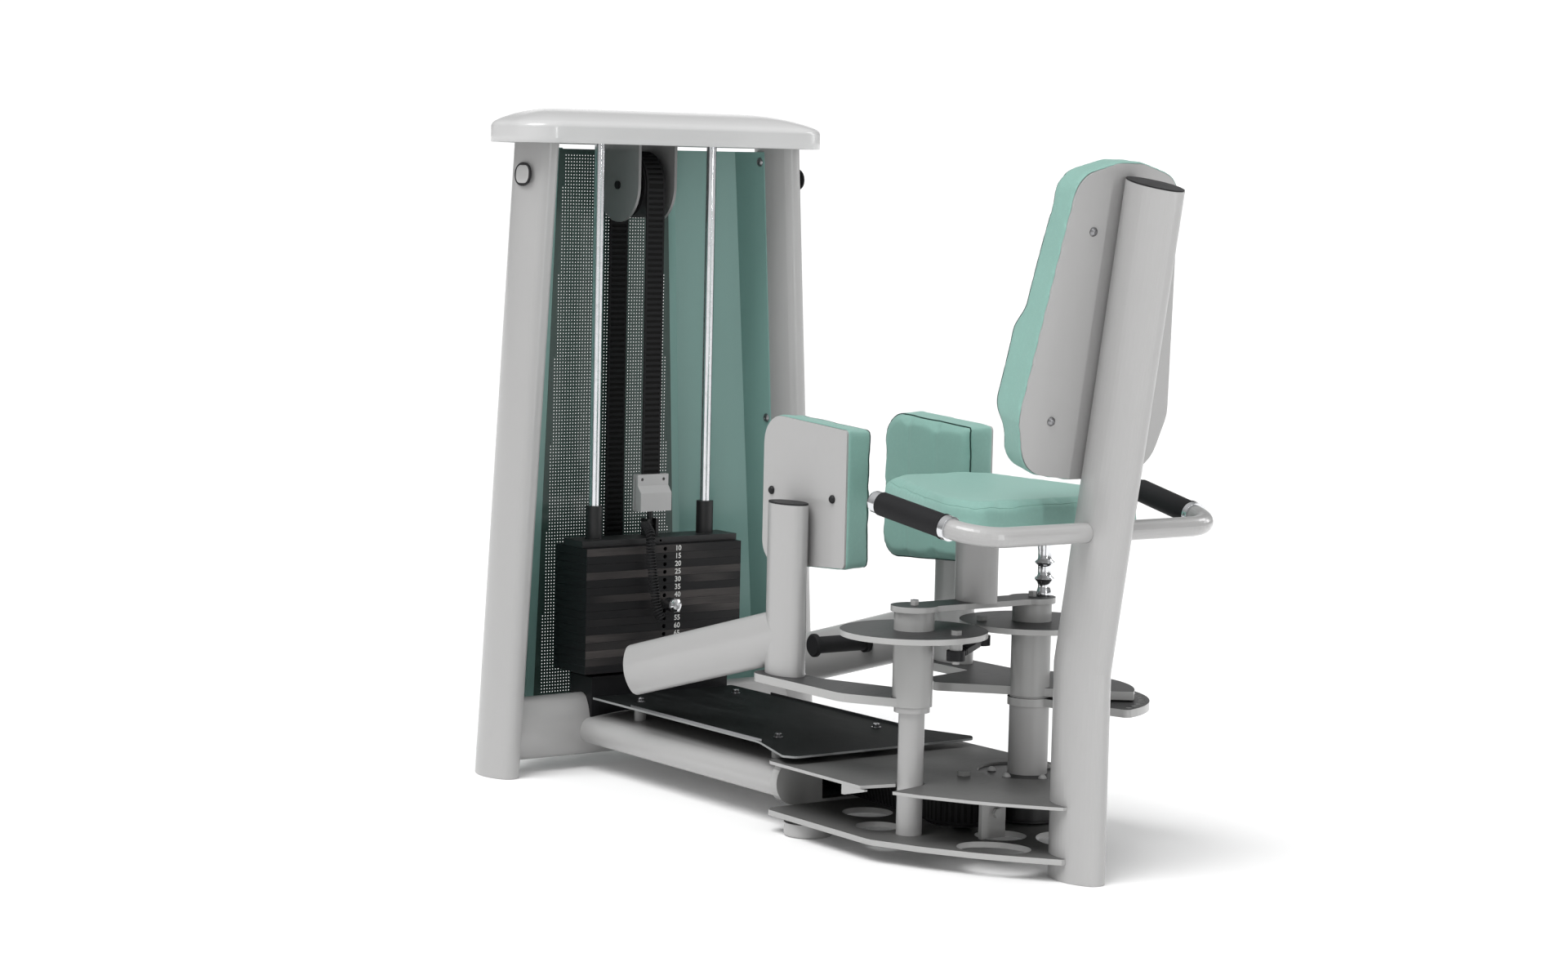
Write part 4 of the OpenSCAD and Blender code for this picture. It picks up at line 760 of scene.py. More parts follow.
@dataclass
class Finishes:
    """Every finish of the machine, built once."""

    frame: Material = made(PowderCoat("frame_powder_coat", FRAME_GREY))
    handled: Material = made(PowderCoat("handled_powder_coat", FRAME_GREY, 0.3, wear=Wear.HANDLED))
    cover: Material = made(PowderCoat("moulded_cover", (0.59, 0.59, 0.59), 0.3, 0.00009, 0.002))
    # the first colour of each plate finish is painted shade on its top faces, the second the grey of
    # its sides
    plate: Material = made(ShadedTopPlate("base_plate_shaded_top_paint", (0.115, 0.115, 0.113), CUT_EDGE, 0.5))
    arm: Material = made(ShadedTopPlate("arm_shaded_top_paint", (0.043, 0.043, 0.044), CUT_EDGE, 0.46))
    cheek: Material = made(ShadedTopPlate("cheek_shaded_top_paint", (0.2, 0.2, 0.2), (0.22, 0.22, 0.22)))
    guard: Material = made(PowderCoat("guard_paint", TEAL, 0.45, 0.00004, 0.0006))
    # painted shade: a darker copy of the guard teal for the sheet that faces into the shaded tower
    mesh: Material = made(PowderCoat("mesh_shaded_paint", (0.050, 0.092, 0.080), 0.5, 0.00002, 0.0002))
    fixings: Material = made(
        TwoTone("fixings", 139.05 * MM, Layer(FRAME_GREY), Layer(ZINC, 1.0, 0.25))
    )
    head: Material = made(
        TwoTone("head", 495.8 * MM, Layer(SOOT), Layer((0.46, 0.46, 0.46), 0.3, 0.35), 50 * MM)
    )
    shaft: Material = made(TwoTone("shaft", 124.2 * MM, Layer(RIB_BLACK), Layer(FRAME_GREY)))
    chrome: Material = made(Chrome("polished_chrome"))
    steel: Material = made(Chrome("zinc_steel", ZINC, 0.32, 0.0006))
    vinyl: Material = made(Vinyl("mint_vinyl", MINT))
    seam: Material = made(Rubber("seam_thread", (0.016, 0.038, 0.032), 0.7, 900.0, 0.0001, 0.0002))
    plastic: Material = made(Rubber("black_plastic", (0.016, 0.016, 0.017), 0.42, 900.0, 0.00005))
    enamel: Material = made(
        Rubber("black_enamel", (0.010, 0.010, 0.011), 0.36, 500.0, 0.00004, 0.001)
    )
    rubber: Material = made(Rubber("grip_rubber"))
    belt: Material = made(BeltRubber("belt_rubber"))
    tread: Material = made(TreadSheet("tread_sheet"))
    stack: Material = made(StackEnamel("stack_enamel", STACK_FOOT * MM, PLATE_PITCH * MM))
    ink: Material = made(Ink("number_ink"))
    floor: Material = made(FloorFinish("studio_floor"))


FINISH = Finishes()
BODY: dict[str, str] = {
    node: body for body, nodes in frame["record"]["behaviour"]["bodies"].items() for node in nodes
}


# ---- meshes


class Ends(Enum):
    """How the two ends of a row of rings are closed."""

    BOTH = "a face at both ends"
    LAST = "a face at the last ring"
    JOINED = "the last ring goes on to the first"


def mesh_piece(name: str, shape: Shape, finish: Material, crease: float) -> Object:
    """Puts a mesh object into the scene.

    Args:
        name: the piece's name.
        shape: its points in metres and its faces.
        finish: its material.
        crease: edges sharper than this angle stay sharp, in degrees.

    Returns:
        The object.
    """
    mesh = bpy.data.meshes.new(name)
    mesh.from_pydata([tuple(p) for p in shape[0]], [], [tuple(f) for f in shape[1]])
    mesh.validate()
    mesh.materials.append(finish)
    mesh.shade_smooth()
    mesh.set_sharp_from_angle(angle=math.radians(crease))
    return linked(bpy.data.objects.new(name, mesh))


def linked(obj: Object) -> Object:
    """An object, once it stands in the scene."""
    bpy.context.scene.collection.objects.link(obj)
    return obj


def shown(obj: Object, node: str, instead: bool = True) -> Object:
    """Ties a piece to the machine.

    Args:
        obj: the piece.
        node: the node it goes with.
        instead: whether it is shown in place of that node.

    Returns:
        The piece.
    """
    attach(obj, BODY[node])
    if instead:
        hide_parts(node)
    LOG.info("%s: %d faces", obj.name, len(obj.data.polygons))
    return obj


def evaluated_mesh(obj: Object) -> bpy.types.Mesh:
    """A new mesh of what an object looks like with its modifiers."""
    return bpy.data.meshes.new_from_object(obj.evaluated_get(bpy.context.evaluated_depsgraph_get()))


def skin(rings: Sequence[Sequence[Vector]], ends: Ends = Ends.BOTH) -> Shape:
    """Lays faces over a row of rings.

    Args:
        rings: rings with equally many points.
        ends: how the row's ends are closed.

    Returns:
        The points and the faces.
    """
    m, last = len(rings[0]), len(rings) - 1
    faces: list[list[int]] = []
    for i in range(last + 1 if ends is Ends.JOINED else last):
        j = (i + 1) % len(rings)
        for k in range(m):
            n = (k + 1) % m
            faces.append([i * m + k, i * m + n, j * m + n, j * m + k])
    if ends is Ends.BOTH:
        faces.append(list(range(m - 1, -1, -1)))
    if ends is not Ends.JOINED:
        faces.append([last * m + k for k in range(m)])
    return [p for ring in rings for p in ring], faces


def flipped(shape: Shape) -> Shape:
    """A shape with its faces turned round."""
    return shape[0], [f[::-1] for f in shape[1]]


def joined(parts: Sequence[Shape]) -> Shape:
    """Puts several shapes together.

    Args:
        parts: the shapes.

    Returns:
        All their points and faces.
    """
    points: list[Vector] = []
    faces: list[list[int]] = []
    for part_points, part_faces in parts:
        faces += [[len(points) + i for i in f] for f in part_faces]
        points += part_points
    return points, faces


def circle(sides: int) -> list[Point2]:
    """Even points round a circle of radius one."""
    turns = [2 * math.pi * k / sides for k in range(sides)]
    return [(math.cos(a), math.sin(a)) for a in turns]


def tube(path: Sequence[Vector], radius: float, closed: bool = False) -> Shape:
    """Sweeps a round tube along a path in metres, without twist.

    Args:
        path: the centre line.
        radius: in metres.
        closed: joins the end to the start.

    Returns:
        The points and the faces.
    """
    rings = []
    up = Vector((0.31, 0.17, 0.94))
    for i, p in enumerate(path):
        ahead = path[(i + 1) % len(path)] if closed or i + 1 < len(path) else p
        behind = path[i - 1] if closed or i > 0 else p
        way = (ahead - behind).normalized()
        side = way.cross(up).normalized()
        up = side.cross(way).normalized()
        rings.append([p + radius * (c * side + s * up) for c, s in circle(8)])
    return skin(rings, Ends.JOINED if closed else Ends.BOTH)


# ---- upholstery

# x, y and radius of each corner
SEAT_CORNERS = mirrored([(184, 66, 50), (208, 136, 50), (118, 406, 34), (82, 436, 60)])
BACK_CORNERS = mirrored([
    (25.6, 531.5, 60), (109.1, 507.74, 50), (121.9, 417.12, 150),
    (163.5, 105.6, 60), (137.9, 11.9, 60), (32, -3.5, 80),
])
PAD_CORNERS = [(-3.5, 10.5, 11.5), (251.5, -3.5, 43.5), (251.5, 274.5, 53.5), (-3.5, 259.5, 11.5)]
PAD_LENGTH = 248.0

CLOTH = {
    "use_pressure": True, "uniform_pressure_force": 4.0, "quality": 5, "mass": 0.3,
    "tension_stiffness": 15, "compression_stiffness": 15,
}


def level(x: float, y: float) -> float:
    """No shaping at all."""
    return 0.0


def lumbar(x: float, y: float) -> float:
    """Height in millimetres of the bulge across the back rest's lower half."""
    return 18.5 * step_between(y, 72, 128) * (1 - step_between(y, 236, 288))


def pad_folds(x: float, y: float) -> float:
    """Height in millimetres of the soft upright folds of a thigh pad and the swell between them."""
    front = PAD_LENGTH - x
    folds = sum(1.7 * math.exp(-(((front - at * PAD_LENGTH) / 7.0) ** 2)) for at in (0.31, 0.63))
    return 1.2 * step_between(front, 70, 95) * (1 - step_between(front, 145, 170)) - folds


@dataclass
class Cushion:
    """A foam pad in vinyl, wrapped round its board, swelled by cloth and then seamed."""

    name: str
    node: str
    corners: list[Triple]
    place: Matrix
    depth: float
    skirt: float
    cap: float
    edge: float
    crown: float
    seam_in: float
    seam_r: float = 1.0
    sink: float = 1.0
    shaping: Callable[[float, float], float] = level
    piped: bool = True
    side_in: float = 0.8
    side_share: float = 0.42
    board_gap: float = 3.2
    fill: float = 0.8
    voxel: float = 0.005
    frames: int = 20
    obj: Optional[Object] = None

    def rim(self, spacing: float) -> list[Point2]:
        """The vinyl's outline, in even steps."""
        return evenly(anticlockwise(rounded(self.corners, 6.0)), spacing)

    def block(self, name: str, rows: Sequence[Point2], spacing: float) -> Object:
        """Makes a closed block with the rim's outline, in local metres.

        Args:
            name: the object's name.
            rows: how far in the outline is drawn, and at which height.
            spacing: distance of its points.

        Returns:
            The block.
        """
        rim = self.rim(spacing)
        rings = [[Vector((x, y, z)) * MM for x, y in inset(rim, d)] for d, z in rows]
        return mesh_piece(name, skin(rings), FINISH.vinyl, 60.0)

    def change(self, kind: str, **settings: Any) -> None:
        """Puts a modifier's result into the mesh.

        Args:
            kind: the modifier's type.
            settings: its properties.
        """
        modifier = self.obj.modifiers.new("change", kind)
        for name, value in settings.items():
            setattr(modifier, name, value)
        mesh, old = evaluated_mesh(self.obj), self.obj.data
        self.obj.modifiers.clear()
        self.obj.data = mesh
        bpy.data.meshes.remove(old)

    def start(self) -> None:
        """Makes the slightly smaller closed block that the cloth starts from."""
        top = self.depth - self.crown
        rows = [(1.2, -self.skirt), (self.side_in, 0.0), (self.side_in, top - self.edge)]
        for a in map(math.radians, range(18, 91, 18)):
            cut = self.edge * (1 - math.cos(a))
            rows.append((self.side_in + cut, top - self.edge * (1 - math.sin(a))))
        self.obj = self.block(self.name, rows, 5.0)
        self.change("REMESH", mode="VOXEL", voxel_size=self.voxel, use_smooth_shade=True)
        for v in self.obj.data.vertices:
            x, y, z = v.co / MM
            v.co.z += self.shaping(x, y) * step_between(z, self.depth * 0.35, top - 1) * MM

    def blown(self) -> list[Vector]:
        """Lets cloth swell under pressure.

        Returns:
            The block's points once swelled.
        """
        cloth = self.obj.modifiers.new("cloth", "CLOTH")
        for name, value in CLOTH.items():
            setattr(cloth.settings, name, value)
        cloth.settings.effector_weights.gravity = 0.0
        cloth.point_cache.frame_start = 1
        cloth.point_cache.frame_end = self.frames
        for number in range(1, self.frames + 1):
            bpy.context.scene.frame_set(number)
        swelled = self.obj.evaluated_get(bpy.context.evaluated_depsgraph_get())
        after = [v.co.copy() for v in swelled.data.vertices]
        self.obj.modifiers.clear()
        bpy.context.scene.frame_set(1)
        return after

    def swell(self) -> None:
        """Swells the block, and caps how far each point moves."""
        limit = self.cap * MM
        vertices = self.obj.data.vertices
        before = [v.co.copy() for v in vertices]
        after = self.blown()
        for v, a, b in zip(vertices, before, after):
            flat = Vector((b.x - a.x, b.y - a.y, 0))
            if flat.length > self.side_share * limit:
                flat *= self.side_share * limit / flat.length
            up = Vector((0, 0, max(-limit * 0.3, min(limit, b.z - a.z))))
            v.co = a + (flat + up) * step_between(a.z / MM, -self.skirt + 1, self.depth * 0.55)

    def groove(self, line: Sequence[Point2]) -> None:
        """Presses the vinyl in along a seam.

        Args:
            line: the seam.
        """
        tree = KDTree(len(line))
        for i, (x, y) in enumerate(line):
            tree.insert((x, y, 0.0), i)
        tree.balance()
        for v in self.obj.data.vertices:
            x, y, z = v.co / MM
            near = tree.find((x, y, 0.0))[2]
            if z >= self.depth * 0.5 and near < 7.0:
                v.co.z -= self.sink * math.exp(-((near / 2.6) ** 2)) * MM

    def on_face(self, line: Sequence[Point2]) -> list[Vector]:
        """Lays the seam's cord on the sitting face.

        Args:
            line: the seam.

        Returns:
            The cord's centre line, in local metres.
        """
        mesh = self.obj.data
        faces = [tuple(p.vertices) for p in mesh.polygons]
        tree = BVHTree.FromPolygons([v.co for v in mesh.vertices], faces)
        hits = [
            tree.ray_cast(Vector((x * MM, y * MM, 0.3)), Vector((0, 0, -1)))[0] for x, y in line
        ]
        return [hit + Vector((0, 0, self.seam_r * 0.25 * MM)) for hit in hits if hit is not None]

    def pocket(self) -> None:
        """Cuts the room for the board out of the rear."""
        rows = [(self.board_gap, z) for z in (-self.skirt - 8, -0.05)]
        cutter = self.block(self.name + "_cutter", rows, 4.0)
        self.change("BOOLEAN", operation="DIFFERENCE", object=cutter, solver="EXACT")
        bpy.data.objects.remove(cutter)

    def build(self) -> None:
        """Makes, swells, seams and places the cushion."""
        self.start()
        self.swell()
        self.change("SUBSURF", levels=1, render_levels=1)
        line = inset(self.rim(3.0), self.seam_in)
        self.groove(line)
        piping = self.on_face(line)
        self.pocket()
        to_metres = self.place @ Matrix.Scale(1 / MM, 4)
        mesh = self.obj.data
        mesh.transform(to_metres)
        if to_metres.determinant() < 0:
            mesh.flip_normals()
        mesh.shade_smooth()
        mesh.set_sharp_from_angle(angle=math.radians(55))
        mesh.materials.clear()
        mesh.materials.append(FINISH.vinyl)
        shown(self.obj, self.node)
        cord = tube([to_metres @ p for p in piping], self.seam_r * MM, closed=True)
        finish = FINISH.seam if self.piped else FINISH.vinyl
        seam = mesh_piece(self.name + "_seam", cord, finish, 80.0)
        shown(seam, self.node, False)


@dataclass
class Upholstery:
    """The seat, the back rest and the two thigh pads."""

    tilt: float = 2.4
    lean: float = 10.0
    knee_z: float = 360.0
    tube_half: float = 61.3
    pivot_y: float = 289.2
    pad_half: float = 27.1

    def on_seat(self) -> Matrix:
        """Local place of the seat board's underside."""
        tilt = moved(0, self.pivot_y, 575) @ turned(x=self.tilt) @ moved(0, -self.pivot_y, 5)
        return to_frame() @ tilt

    def on_back(self) -> Matrix:
        """Local place of the back board's rear face."""
        lean = moved(0, 0, self.knee_z) @ turned(x=self.lean) @ moved(0, self.tube_half + 0.1, 307)
        return to_frame() @ lean @ turned(z=180) @ turned(x=90) @ Matrix.Diagonal((-1, 1, 1, 1))

    def on_pad(self, x: float, rear: float, side: int) -> Matrix:
        """Local place of a thigh pad's board."""
        turn = turned(z=90) @ turned(x=90) @ Matrix.Diagonal((1, 1, -1 if side > 0 else 1, 1))
        return to_frame() @ moved(x - side * self.pad_half, rear, 465) @ turn

    def build(self) -> None:
        """Makes the four cushions."""
        Cushion(
            "seat_vinyl", "seat_cushion", SEAT_CORNERS, self.on_seat() @ moved(0, 0, 12.1),
            depth=48, skirt=8, cap=8, edge=9, crown=5, seam_in=9, seam_r=0.7, sink=0.5, piped=False,
        ).build()
        Cushion(
            "back_rest_vinyl", "back_cushion", BACK_CORNERS, self.on_back() @ moved(0, 0, 12.1),
            depth=50, skirt=10.5, cap=8, edge=13, crown=5, seam_in=9, shaping=lumbar,
        ).build()
        for word, side, at, rear in (("left", -1, -175.0, 470.0), ("right", 1, 196.0, 456.0)):
            Cushion(
                word + "_thigh_vinyl", word + "_pad_cushion", PAD_CORNERS,
                self.on_pad(at, rear, side) @ moved(0, 0, 10.1),
                depth=48, skirt=8.5, cap=6, edge=5, crown=3.5, seam_in=5, seam_r=1.3, sink=1.4,
                shaping=pad_folds,
            ).build()


# ---- guard and cover


@dataclass
class PerforatedSheet:
    """The guard's middle sheet with its rows of square holes."""

    foot_half: float = 169.0
    top_half: float = GUARD_TOP_HALF
    foot_z: float = 109.0
    top_z: float = 1203.0
    middle_y: float = TOWER_Y + 166.0 - 1.05
    thick: float = 1.0
    pitch: float = 6.4
    hole: float = 1.95
    margin: float = 9.0
    points: list[Vector] = field(default_factory=list)
    faces: list[list[int]] = field(default_factory=list)
    known: dict[Triple, int] = field(default_factory=dict)

    def half_at(self, z: float) -> float:
        """Half width of the sheet at a height."""
        share = (z - self.foot_z) / (self.top_z - self.foot_z)
        return self.foot_half + (self.top_half - self.foot_half) * share

    def at(self, spot: Point2, side: int) -> int:
        """Finds or adds a point.

        Args:
            spot: x and z.
            side: 1 on the front face, -1 on the rear one.

        Returns:
            Its index, shared where it is met again.
        """
        x, z = spot
        key = (round(x * 50), round(z * 50), side)
        if key not in self.known:
            self.known[key] = len(self.points)
            self.points.append(from_post(x, self.middle_y + side * self.thick / 2, z))
        return self.known[key]

    def plain(self, corners: Sequence[Point2]) -> None:
        """Adds both faces of a piece without a hole, from its corners seen from the rear."""
        self.faces.append([self.at(c, 1) for c in corners][::-1])
        self.faces.append([self.at(c, -1) for c in corners])

    def cell(self, x: float, z: float) -> None:
        """Adds a cell with a square hole.

        Args:
            x: its left edge.
            z: its lower edge.
        """
        half = self.hole / 2
        cx, cz = x + self.pitch / 2, z + self.pitch / 2
        outer = [(x, z), (x + self.pitch, z), (x + self.pitch, z + self.pitch), (x, z + self.pitch)]
        hole = [(cx + half * i, cz + half * k) for i, k in ((-1, -1), (1, -1), (1, 1), (-1, 1))]
        for i in range(4):
            a, b, c, d = outer[i - 1], outer[i], hole[i], hole[i - 1]
            self.faces.append([self.at(a, -1), self.at(b, -1), self.at(c, -1), self.at(d, -1)])
            self.faces.append([self.at(b, 1), self.at(a, 1), self.at(d, 1), self.at(c, 1)])
            self.faces.append([self.at(d, -1), self.at(c, -1), self.at(c, 1), self.at(d, 1)])

    def build(self) -> None:
        """Makes the sheet with real holes."""
        rows = int((self.top_z - self.foot_z - 2 * self.margin) / self.pitch)
        low = (self.top_z + self.foot_z - rows * self.pitch) / 2
        for row in range(rows):
            z0, z1 = low + row * self.pitch, low + (row + 1) * self.pitch
            w0, w1 = self.half_at(z0), self.half_at(z1)
            count = int((w1 - self.margin) / self.pitch)
            edge = count * self.pitch
            for i in range(-count, count):
                self.cell(i * self.pitch, z0)
            self.plain([(-w0, z0), (-edge, z0), (-edge, z1), (-w1, z1)])
            self.plain([(edge, z0), (w0, z0), (w1, z1), (edge, z1)])
        for z0, z1 in ((self.foot_z, low), (low + rows * self.pitch, self.top_z)):
            w0, w1 = self.half_at(z0), self.half_at(z1)
            self.plain([(-w0, z0), (w0, z0), (w1, z1), (-w1, z1)])
        half, top = self.foot_half, self.top_half
        rim = [(-half, self.foot_z), (half, self.foot_z), (top, self.top_z), (-top, self.top_z)]
        for a, b in zip(rim, rim[1:] + rim[:1]):
            self.faces.append([self.at(a, -1), self.at(a, 1), self.at(b, 1), self.at(b, -1)])
        # the sheet takes the darker teal, painted shade
        sheet = mesh_piece("perforated_sheet", (self.points, self.faces), FINISH.mesh, 20.0)
        shown(sheet, "perforated_panel")


# how far in from the edge, and the share of the dome's height there
DOME = (
    (0, 0.0), (1.2, 0.09), (4, 0.19), (9, 0.29), (16, 0.38), (24, 0.47),
    (38, 0.6), (52, 0.71), (70, 0.82), (90, 0.91), (112, 0.97), (138, 1.0),
)
DOME_RINGS = (
    0, 0.5, 1.2, 2.4, 4, 6.5, 9, 12.5, 16, 20, 24, 30,
    38, 45, 52, 61, 70, 80, 90, 101, 112, 124, 134, 140,
)


@dataclass
class Cover:
    """The moulded cover of the tower, with a rounded lip and a shallow dome."""

    half_w: float = 350.0
    near: float = 99.0
    far: float = 188.0
    front_half: float = GUARD_TOP_HALF + 82
    foot_z: float = 1212.0
    lip: float = 31.0
    crown: float = 36.0
    wall: float = 4.0

    def outline(self) -> list[Point2]:
        """Draws the lip's outline.

        Returns:
            Its points, in even steps.
        """
        near_y, far_y, side_y = TOWER_Y - self.near, TOWER_Y + self.far, TOWER_Y + 65
        right = [(self.half_w, near_y, 70), (self.half_w, side_y, 60), (self.front_half, far_y, 40)]
        corners = mirrored(right)
        return evenly(rounded(corners[-1:] + corners[:-1], 5.0), 9.0)

    def ring(self, way_in: float, z: float) -> list[Vector]:
        """Draws the outline in towards its middle.

        Args:
            way_in: how far in.
            z: height above the lip's foot.

        Returns:
            The ring's points.
        """
        mid = TOWER_Y + (self.far - self.near) / 2
        kx, ky = 1 - way_in / self.half_w, 1 - way_in / ((self.far + self.near) / 2)
        top = self.foot_z + z
        return [from_post(x * kx, mid + (y - mid) * ky, top) for x, y in self.outline()]

    def dome(self, way_in: float) -> float:
        """Finds the dome's height above the lip's foot.

        Args:
            way_in: how far in from the edge.

        Returns:
            The height.
        """
        for (a, u), (b, v) in zip(DOME, DOME[1:]):
            if way_in <= b:
                return self.lip + self.crown * (u + (v - u) * (way_in - a) / (b - a))
        return self.lip + self.crown

    def build(self) -> None:
        """Makes the shell."""
        wall = self.wall
        side = [(wall, 0.2), (0.6, 0.0), (0.0, 0.8)]
        side += [(0.0, z) for z in (self.lip * 0.4, self.lip * 0.8, self.lip - 2.2)]
        inner = [(wall, 0.2), (wall, self.lip - wall)]
        inner += [(d + wall, self.dome(d) - wall) for d in DOME_RINGS[3::3] if d + wall < 138]
        outer = side + [(d, self.dome(d)) for d in DOME_RINGS]
        shell, lining = (
            skin([self.ring(*row) for row in rows], Ends.LAST) for rows in (outer, inner)
        )
        cover = mesh_piece("moulded_cover", joined([shell, flipped(lining)]), FINISH.cover, 50.0)
        shown(cover, "tower_cover")


# ---- belt, numbers and lanyard


@dataclass(frozen=True)
class BeltPoint:
    """One cross-section of the belt: its middle, outward side and way of travel."""

    middle: Vector
    out: Vector
    way: Vector

    def towards(self, other: "BeltPoint", share: float) -> "BeltPoint":
        """The cross-section a share of the way to another one."""
        out, way = self.out.lerp(other.out, share), self.way.lerp(other.way, share)
        return BeltPoint(self.middle.lerp(other.middle, share), out.normalized(), way.normalized())


class Run(Enum):
    """How the belt goes round a pulley: upright or not, and the signs of its outside and way."""

    OVER = (True, 1, -1)
    ROUND = (False, 1, 1)
    ONTO = (False, -1, -1)


@dataclass
class Belting:
    """The flat ribbed belt, and its strand down to the weights."""

    wide: float = 42.0
    thick: float = 3.0
    margin: float = 4.0
    slope: float = 0.6
    rib_pitch: float = 10.9
    rib_rise: float = 0.8
    top: Point2 = (1376.1, 1134.0)
    top_r: float = 65.3
    foot: Point2 = (1399.6, 114.8)
    foot_r: float = 41.8
    belt_z: float = 73.0
    idler: Point2 = (0.0, 305.0)
    idler_r: float = 63.8
    leave: float = 330.4742
    drum: Point2 = (130.8, 289.2)
    drum_r: float = 57.8
    meet: float = 150.474
    wrap: float = 70.0
    beam_steps: int = 48
    clamp_z: float = 497.88
    lift: float = 0.0514

    def arc(self, centre: Point2, radius: float, turn: Triple, run: Run) -> list[BeltPoint]:
        """Goes round a pulley.

        Args:
            centre: the pulley's middle, in y and z when upright and in x and y when flat.
            radius: to the belt's middle.
            turn: first angle, last angle and number of steps.
            run: how the belt lies there.

        Returns:
            The cross-sections.
        """
        upright, out, way = run.value
        first, last, steps = turn

        def spot(u: float, v: float, z: float) -> Vector:
            """A point or direction in the pulley's plane."""
            return Vector((0, u, v)) if upright else Vector((u, v, z))

        made_points: list[BeltPoint] = []
        for k in range(int(steps) + 1):
            a = math.radians(first + (last - first) * k / steps)
            c, s = math.cos(a), math.sin(a)
            middle = spot(centre[0] + radius * c, centre[1] + radius * s, self.belt_z)
            made_points.append(BeltPoint(middle, spot(c, s, 0) * out, spot(-s, c, 0) * way))
        return made_points

    def route(self) -> list[BeltPoint]:
        """Follows the belt from the top pulley to the drum.

        Returns:
            The cross-sections.
        """
        line = self.arc(self.top, self.top_r, (180, 0, 60), Run.OVER)
        line += self.arc(self.foot, self.foot_r, (0, -90, 30), Run.OVER)
        for f in (k / self.beam_steps for k in range(1, self.beam_steps)):
            a = math.radians(90 * f)
            y = self.foot[0] + (self.idler[1] - self.foot[0]) * f
            middle = Vector((-self.idler_r * f, y, self.belt_z))
            line.append(
                BeltPoint(middle, Vector((-math.sin(a), 0, -math.cos(a))), Vector((0, -1, 0)))
            )
        line += self.arc(self.idler, self.idler_r, (180, self.leave, 60), Run.ROUND)
        span = (self.meet, self.meet - self.wrap, 24)
        return line + self.arc(self.drum, self.drum_r, span, Run.ONTO)

    def stepped(self, route: Sequence[BeltPoint]) -> list[tuple[BeltPoint, float]]:
        """Finds the cross-sections at the ribs' edges.

        Args:
            route: the belt's way.

        Returns:
            Each cross-section with the half thickness there.
        """
        lengths = running([at.middle for at in route])
        count = int(lengths[-1] / self.rib_pitch)
        step = lengths[-1] / count
        high, low = self.thick / 2, self.thick / 2 - self.rib_rise
        rib = ((0.0, low), (0.38, low), (0.47, high), (0.91, high))
        places = [((i + share) * step, half) for i in range(count) for share, half in rib]
        places.append((lengths[-1], low))
        found = walk(lengths, [s for s, _ in places])
        return [
            (route[i].towards(route[i + 1], f), half)
            for (i, f), (_, half) in zip(found, places)
        ]

    def piece(self, name: str, route: Sequence[BeltPoint]) -> Object:
        """Makes a length of belt: ribs across it, with a plain margin at both edges.

        Args:
            name: the piece's name.
            route: its way.

        Returns:
            The belt, with its grooves marked for the painted shade in its finish.
        """
        stepped = self.stepped(route)
        edge, full = self.wide / 2, self.thick / 2
        brim = edge - self.margin
        rings: list[list[Vector]] = []
        for at, half in stepped:
            side = at.way.cross(at.out).normalized()
            right = [(edge, full), (brim, full), (brim - self.slope, half)]
            columns = right + [(-w, h) for w, h in reversed(right)]
            outer = [at.middle + side * w + at.out * h for w, h in columns]
            inner = [at.middle + side * w - at.out * h for w, h in reversed(columns)]
            rings.append([from_post(*p) for p in outer + inner])
        belt = mesh_piece(name, skin(rings), FINISH.belt, 25.0)
        # marks the groove points that take the painted shade
        marks = belt.data.attributes.new(GROOVE_SHADE, "FLOAT", "POINT")
        for i, (_, half) in enumerate(stepped):
            for k in (2, 3, 8, 9):
                marks.data[len(rings[0]) * i + k].value = 1.0 if half < full else 0.0
        return belt

    def build(self) -> None:
        """Makes the long belt and the strand that lifts the weights."""
        shown(self.piece("ribbed_belt", self.route()), "drive_belt")
        out, way = Vector((0, -1, 0)), Vector((0, 0, -1))
        ends = [Vector((0, STACK_Y, z)) for z in (self.top[1], self.clamp_z)]
        strand = self.piece("ribbed_strand", [BeltPoint(end, out, way) for end in ends])
        shown(strand, "belt_lift_strand")
        anchor = tuple(from_post(0, STACK_Y, self.clamp_z))
        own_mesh(strand)


@dataclass
class StackNumbers:
    """Printed numbers on the fronts of the weight plates."""

    x: float = 31.0
    face_y: float = STACK_Y - 56.9 - 0.06
    thick: float = 15.03
    count: int = 16
    resting: int = 8
    size: float = 14.5
    weight: float = 0.28
    first: int = 10
    step: int = 5

    def digits(self, layer: int) -> Shape:
        """Makes the number of one plate.

        Args:
            layer: the plate's place from below.

        Returns:
            The number as flat faces.
        """
        curve = bpy.data.curves.new("number", "FONT")
        curve.body = str(self.first + self.step * (self.count - 1 - layer))
        curve.size = self.size
        curve.align_x = "CENTER"
        curve.align_y = "CENTER"
        curve.offset = self.weight
        curve.resolution_u = 3
        holder = linked(bpy.data.objects.new("number", curve))
        mesh = evaluated_mesh(holder)
        z = STACK_FOOT + layer * PLATE_PITCH + self.thick / 2
        points = [from_post(self.x + v.co.x, self.face_y, z + v.co.y) for v in mesh.vertices]
        faces = [list(p.vertices) for p in mesh.polygons]
        bpy.data.objects.remove(holder)
        bpy.data.curves.remove(curve)
        bpy.data.meshes.remove(mesh)
        return points, faces

    def build(self) -> None:
        """Prints the numbers on both halves of the stack."""
        for word, layers in (
            ("resting", range(self.resting)), ("lifted", range(self.resting, self.count)),
        ):
            shape = joined([self.digits(layer) for layer in layers])
            numbers = mesh_piece(word + "_numbers", shape, FINISH.ink, 30.0)
            shown(numbers, word + "_weight_plates", False)


SHARES = [k / 20 for k in range(20)]
